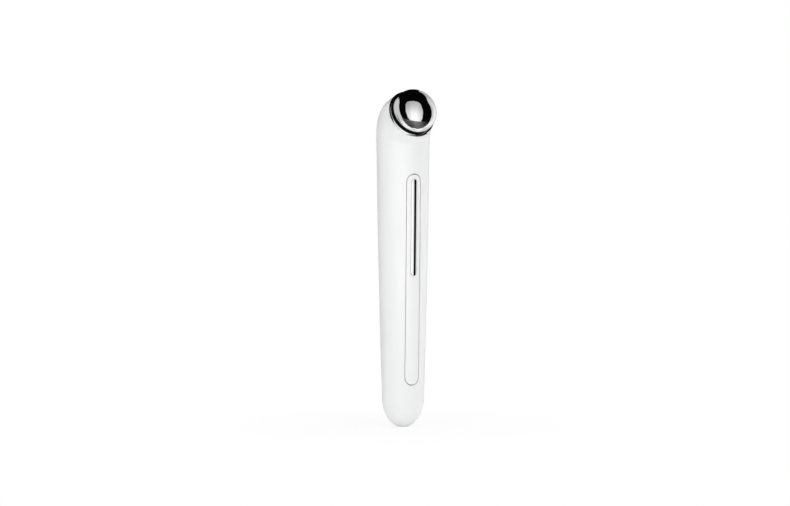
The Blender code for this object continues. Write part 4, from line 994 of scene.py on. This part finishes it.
def makeLamp(name, azimuth, elevation, size, power):
    lampData = bpy.data.lights.new(name, "AREA")
    lampData.shape = "RECTANGLE"
    lampData.size, lampData.size_y = size
    lampData.energy = power
    lamp = bpy.data.objects.new(name, lampData)
    bpy.context.scene.collection.objects.link(lamp)
    target = Vector(studioValues["lampAim"])
    spot = target + directionFrom(azimuth, elevation) * studioValues["lampDistance"]
    lamp.location = spot
    lamp.rotation_euler = (target - spot).to_track_quat("-Z", "Y").to_euler()
    lamp.visible_glossy = False
    lamp.visible_camera = False


def makeCard(name, values, layer, rows, glow=None, up=None, across=None):
    # a card that only mirrors see; what is below the horizon lies on the floor
    eye = Vector(values["cardEye"])
    far = values["cardDistance"] - values["layerSpacing"] * layer
    lift = values["layerLift"] * (layer + 1)
    columns = values["cardColumns"]

    def rowAt(rise, start, stop):
        points = []
        for i in range(columns + 1):
            azimuth = start + (stop - start) * i / columns
            if rise < 0:
                reach = min(far, eye.z / math.tan(math.radians(-rise)))
                points.append(Vector((eye.x, eye.y, lift)) + directionFrom(azimuth) * reach)
            else:
                points.append(eye + directionFrom(azimuth, rise) * far)
        return points

    spots = []
    for low, high in zip(rows, rows[1:]):
        steps = max(1, round((high[0] - low[0]) / values["rowStep"]))
        spots += [rowAt(*(a + (b - a) * j / steps for a, b in zip(low, high))) for j in range(steps)]
    spots.append(rowAt(*rows[-1]))
    card = bpy.data.objects.new(name, meshOf(name, lambda bm: stitch(
        bm, [[bm.verts.new(p) for p in row] for row in spots], closedAround=False)))
    bpy.context.scene.collection.objects.link(card)
    f = Finish(name)
    if glow:
        toward = f.add("VectorMath", {"operation": "NORMALIZE"}, {0: f.add(
            "VectorMath", {"operation": "SUBTRACT"}, {0: f.place(), 1: tuple(eye)})})
        shade = f.noise(*values["glowTone"]) * values["glowDrift"] + (glow - values["glowDrift"] / 2)
        if up:
            height = f.add("SeparateXYZ", {}, {"Vector": toward}, 2)
            shade = shade * f.ramp(height * 0.5 + 0.5, *up)
        if across:
            side = f.add("VectorMath", {"operation": "DOT_PRODUCT"},
                         {0: toward, 1: tuple(directionFrom(90))}, 1)
            shade = shade * f.ramp(side * 0.5 + 0.5, *across)
        f.set(colour=(0, 0, 0), roughness=1.0, specular=0.0, glowStrength=1.0, glow=shade)
    else:
        f.set(colour=f.blend(f.noise(*values["blackTone"]), *values["cardBlack"]),
              roughness=1.0, specular=0.0)
    card.data.materials.append(f.material)
    card.visible_camera = False
    card.visible_diffuse = False
    card.visible_shadow = False
    card.visible_transmission = False


makeWorld(studioValues)
makeFloor(studioValues)
for name, lamp in lampValues.items():
    makeLamp(name, *lamp)
for name, card in cardValues.items():
    makeCard(name, studioValues, **card)
bpy.context.scene.view_settings.view_transform = "Standard"
print("studio made:", len(lampValues), "lamps,", len(cardValues), "cards")
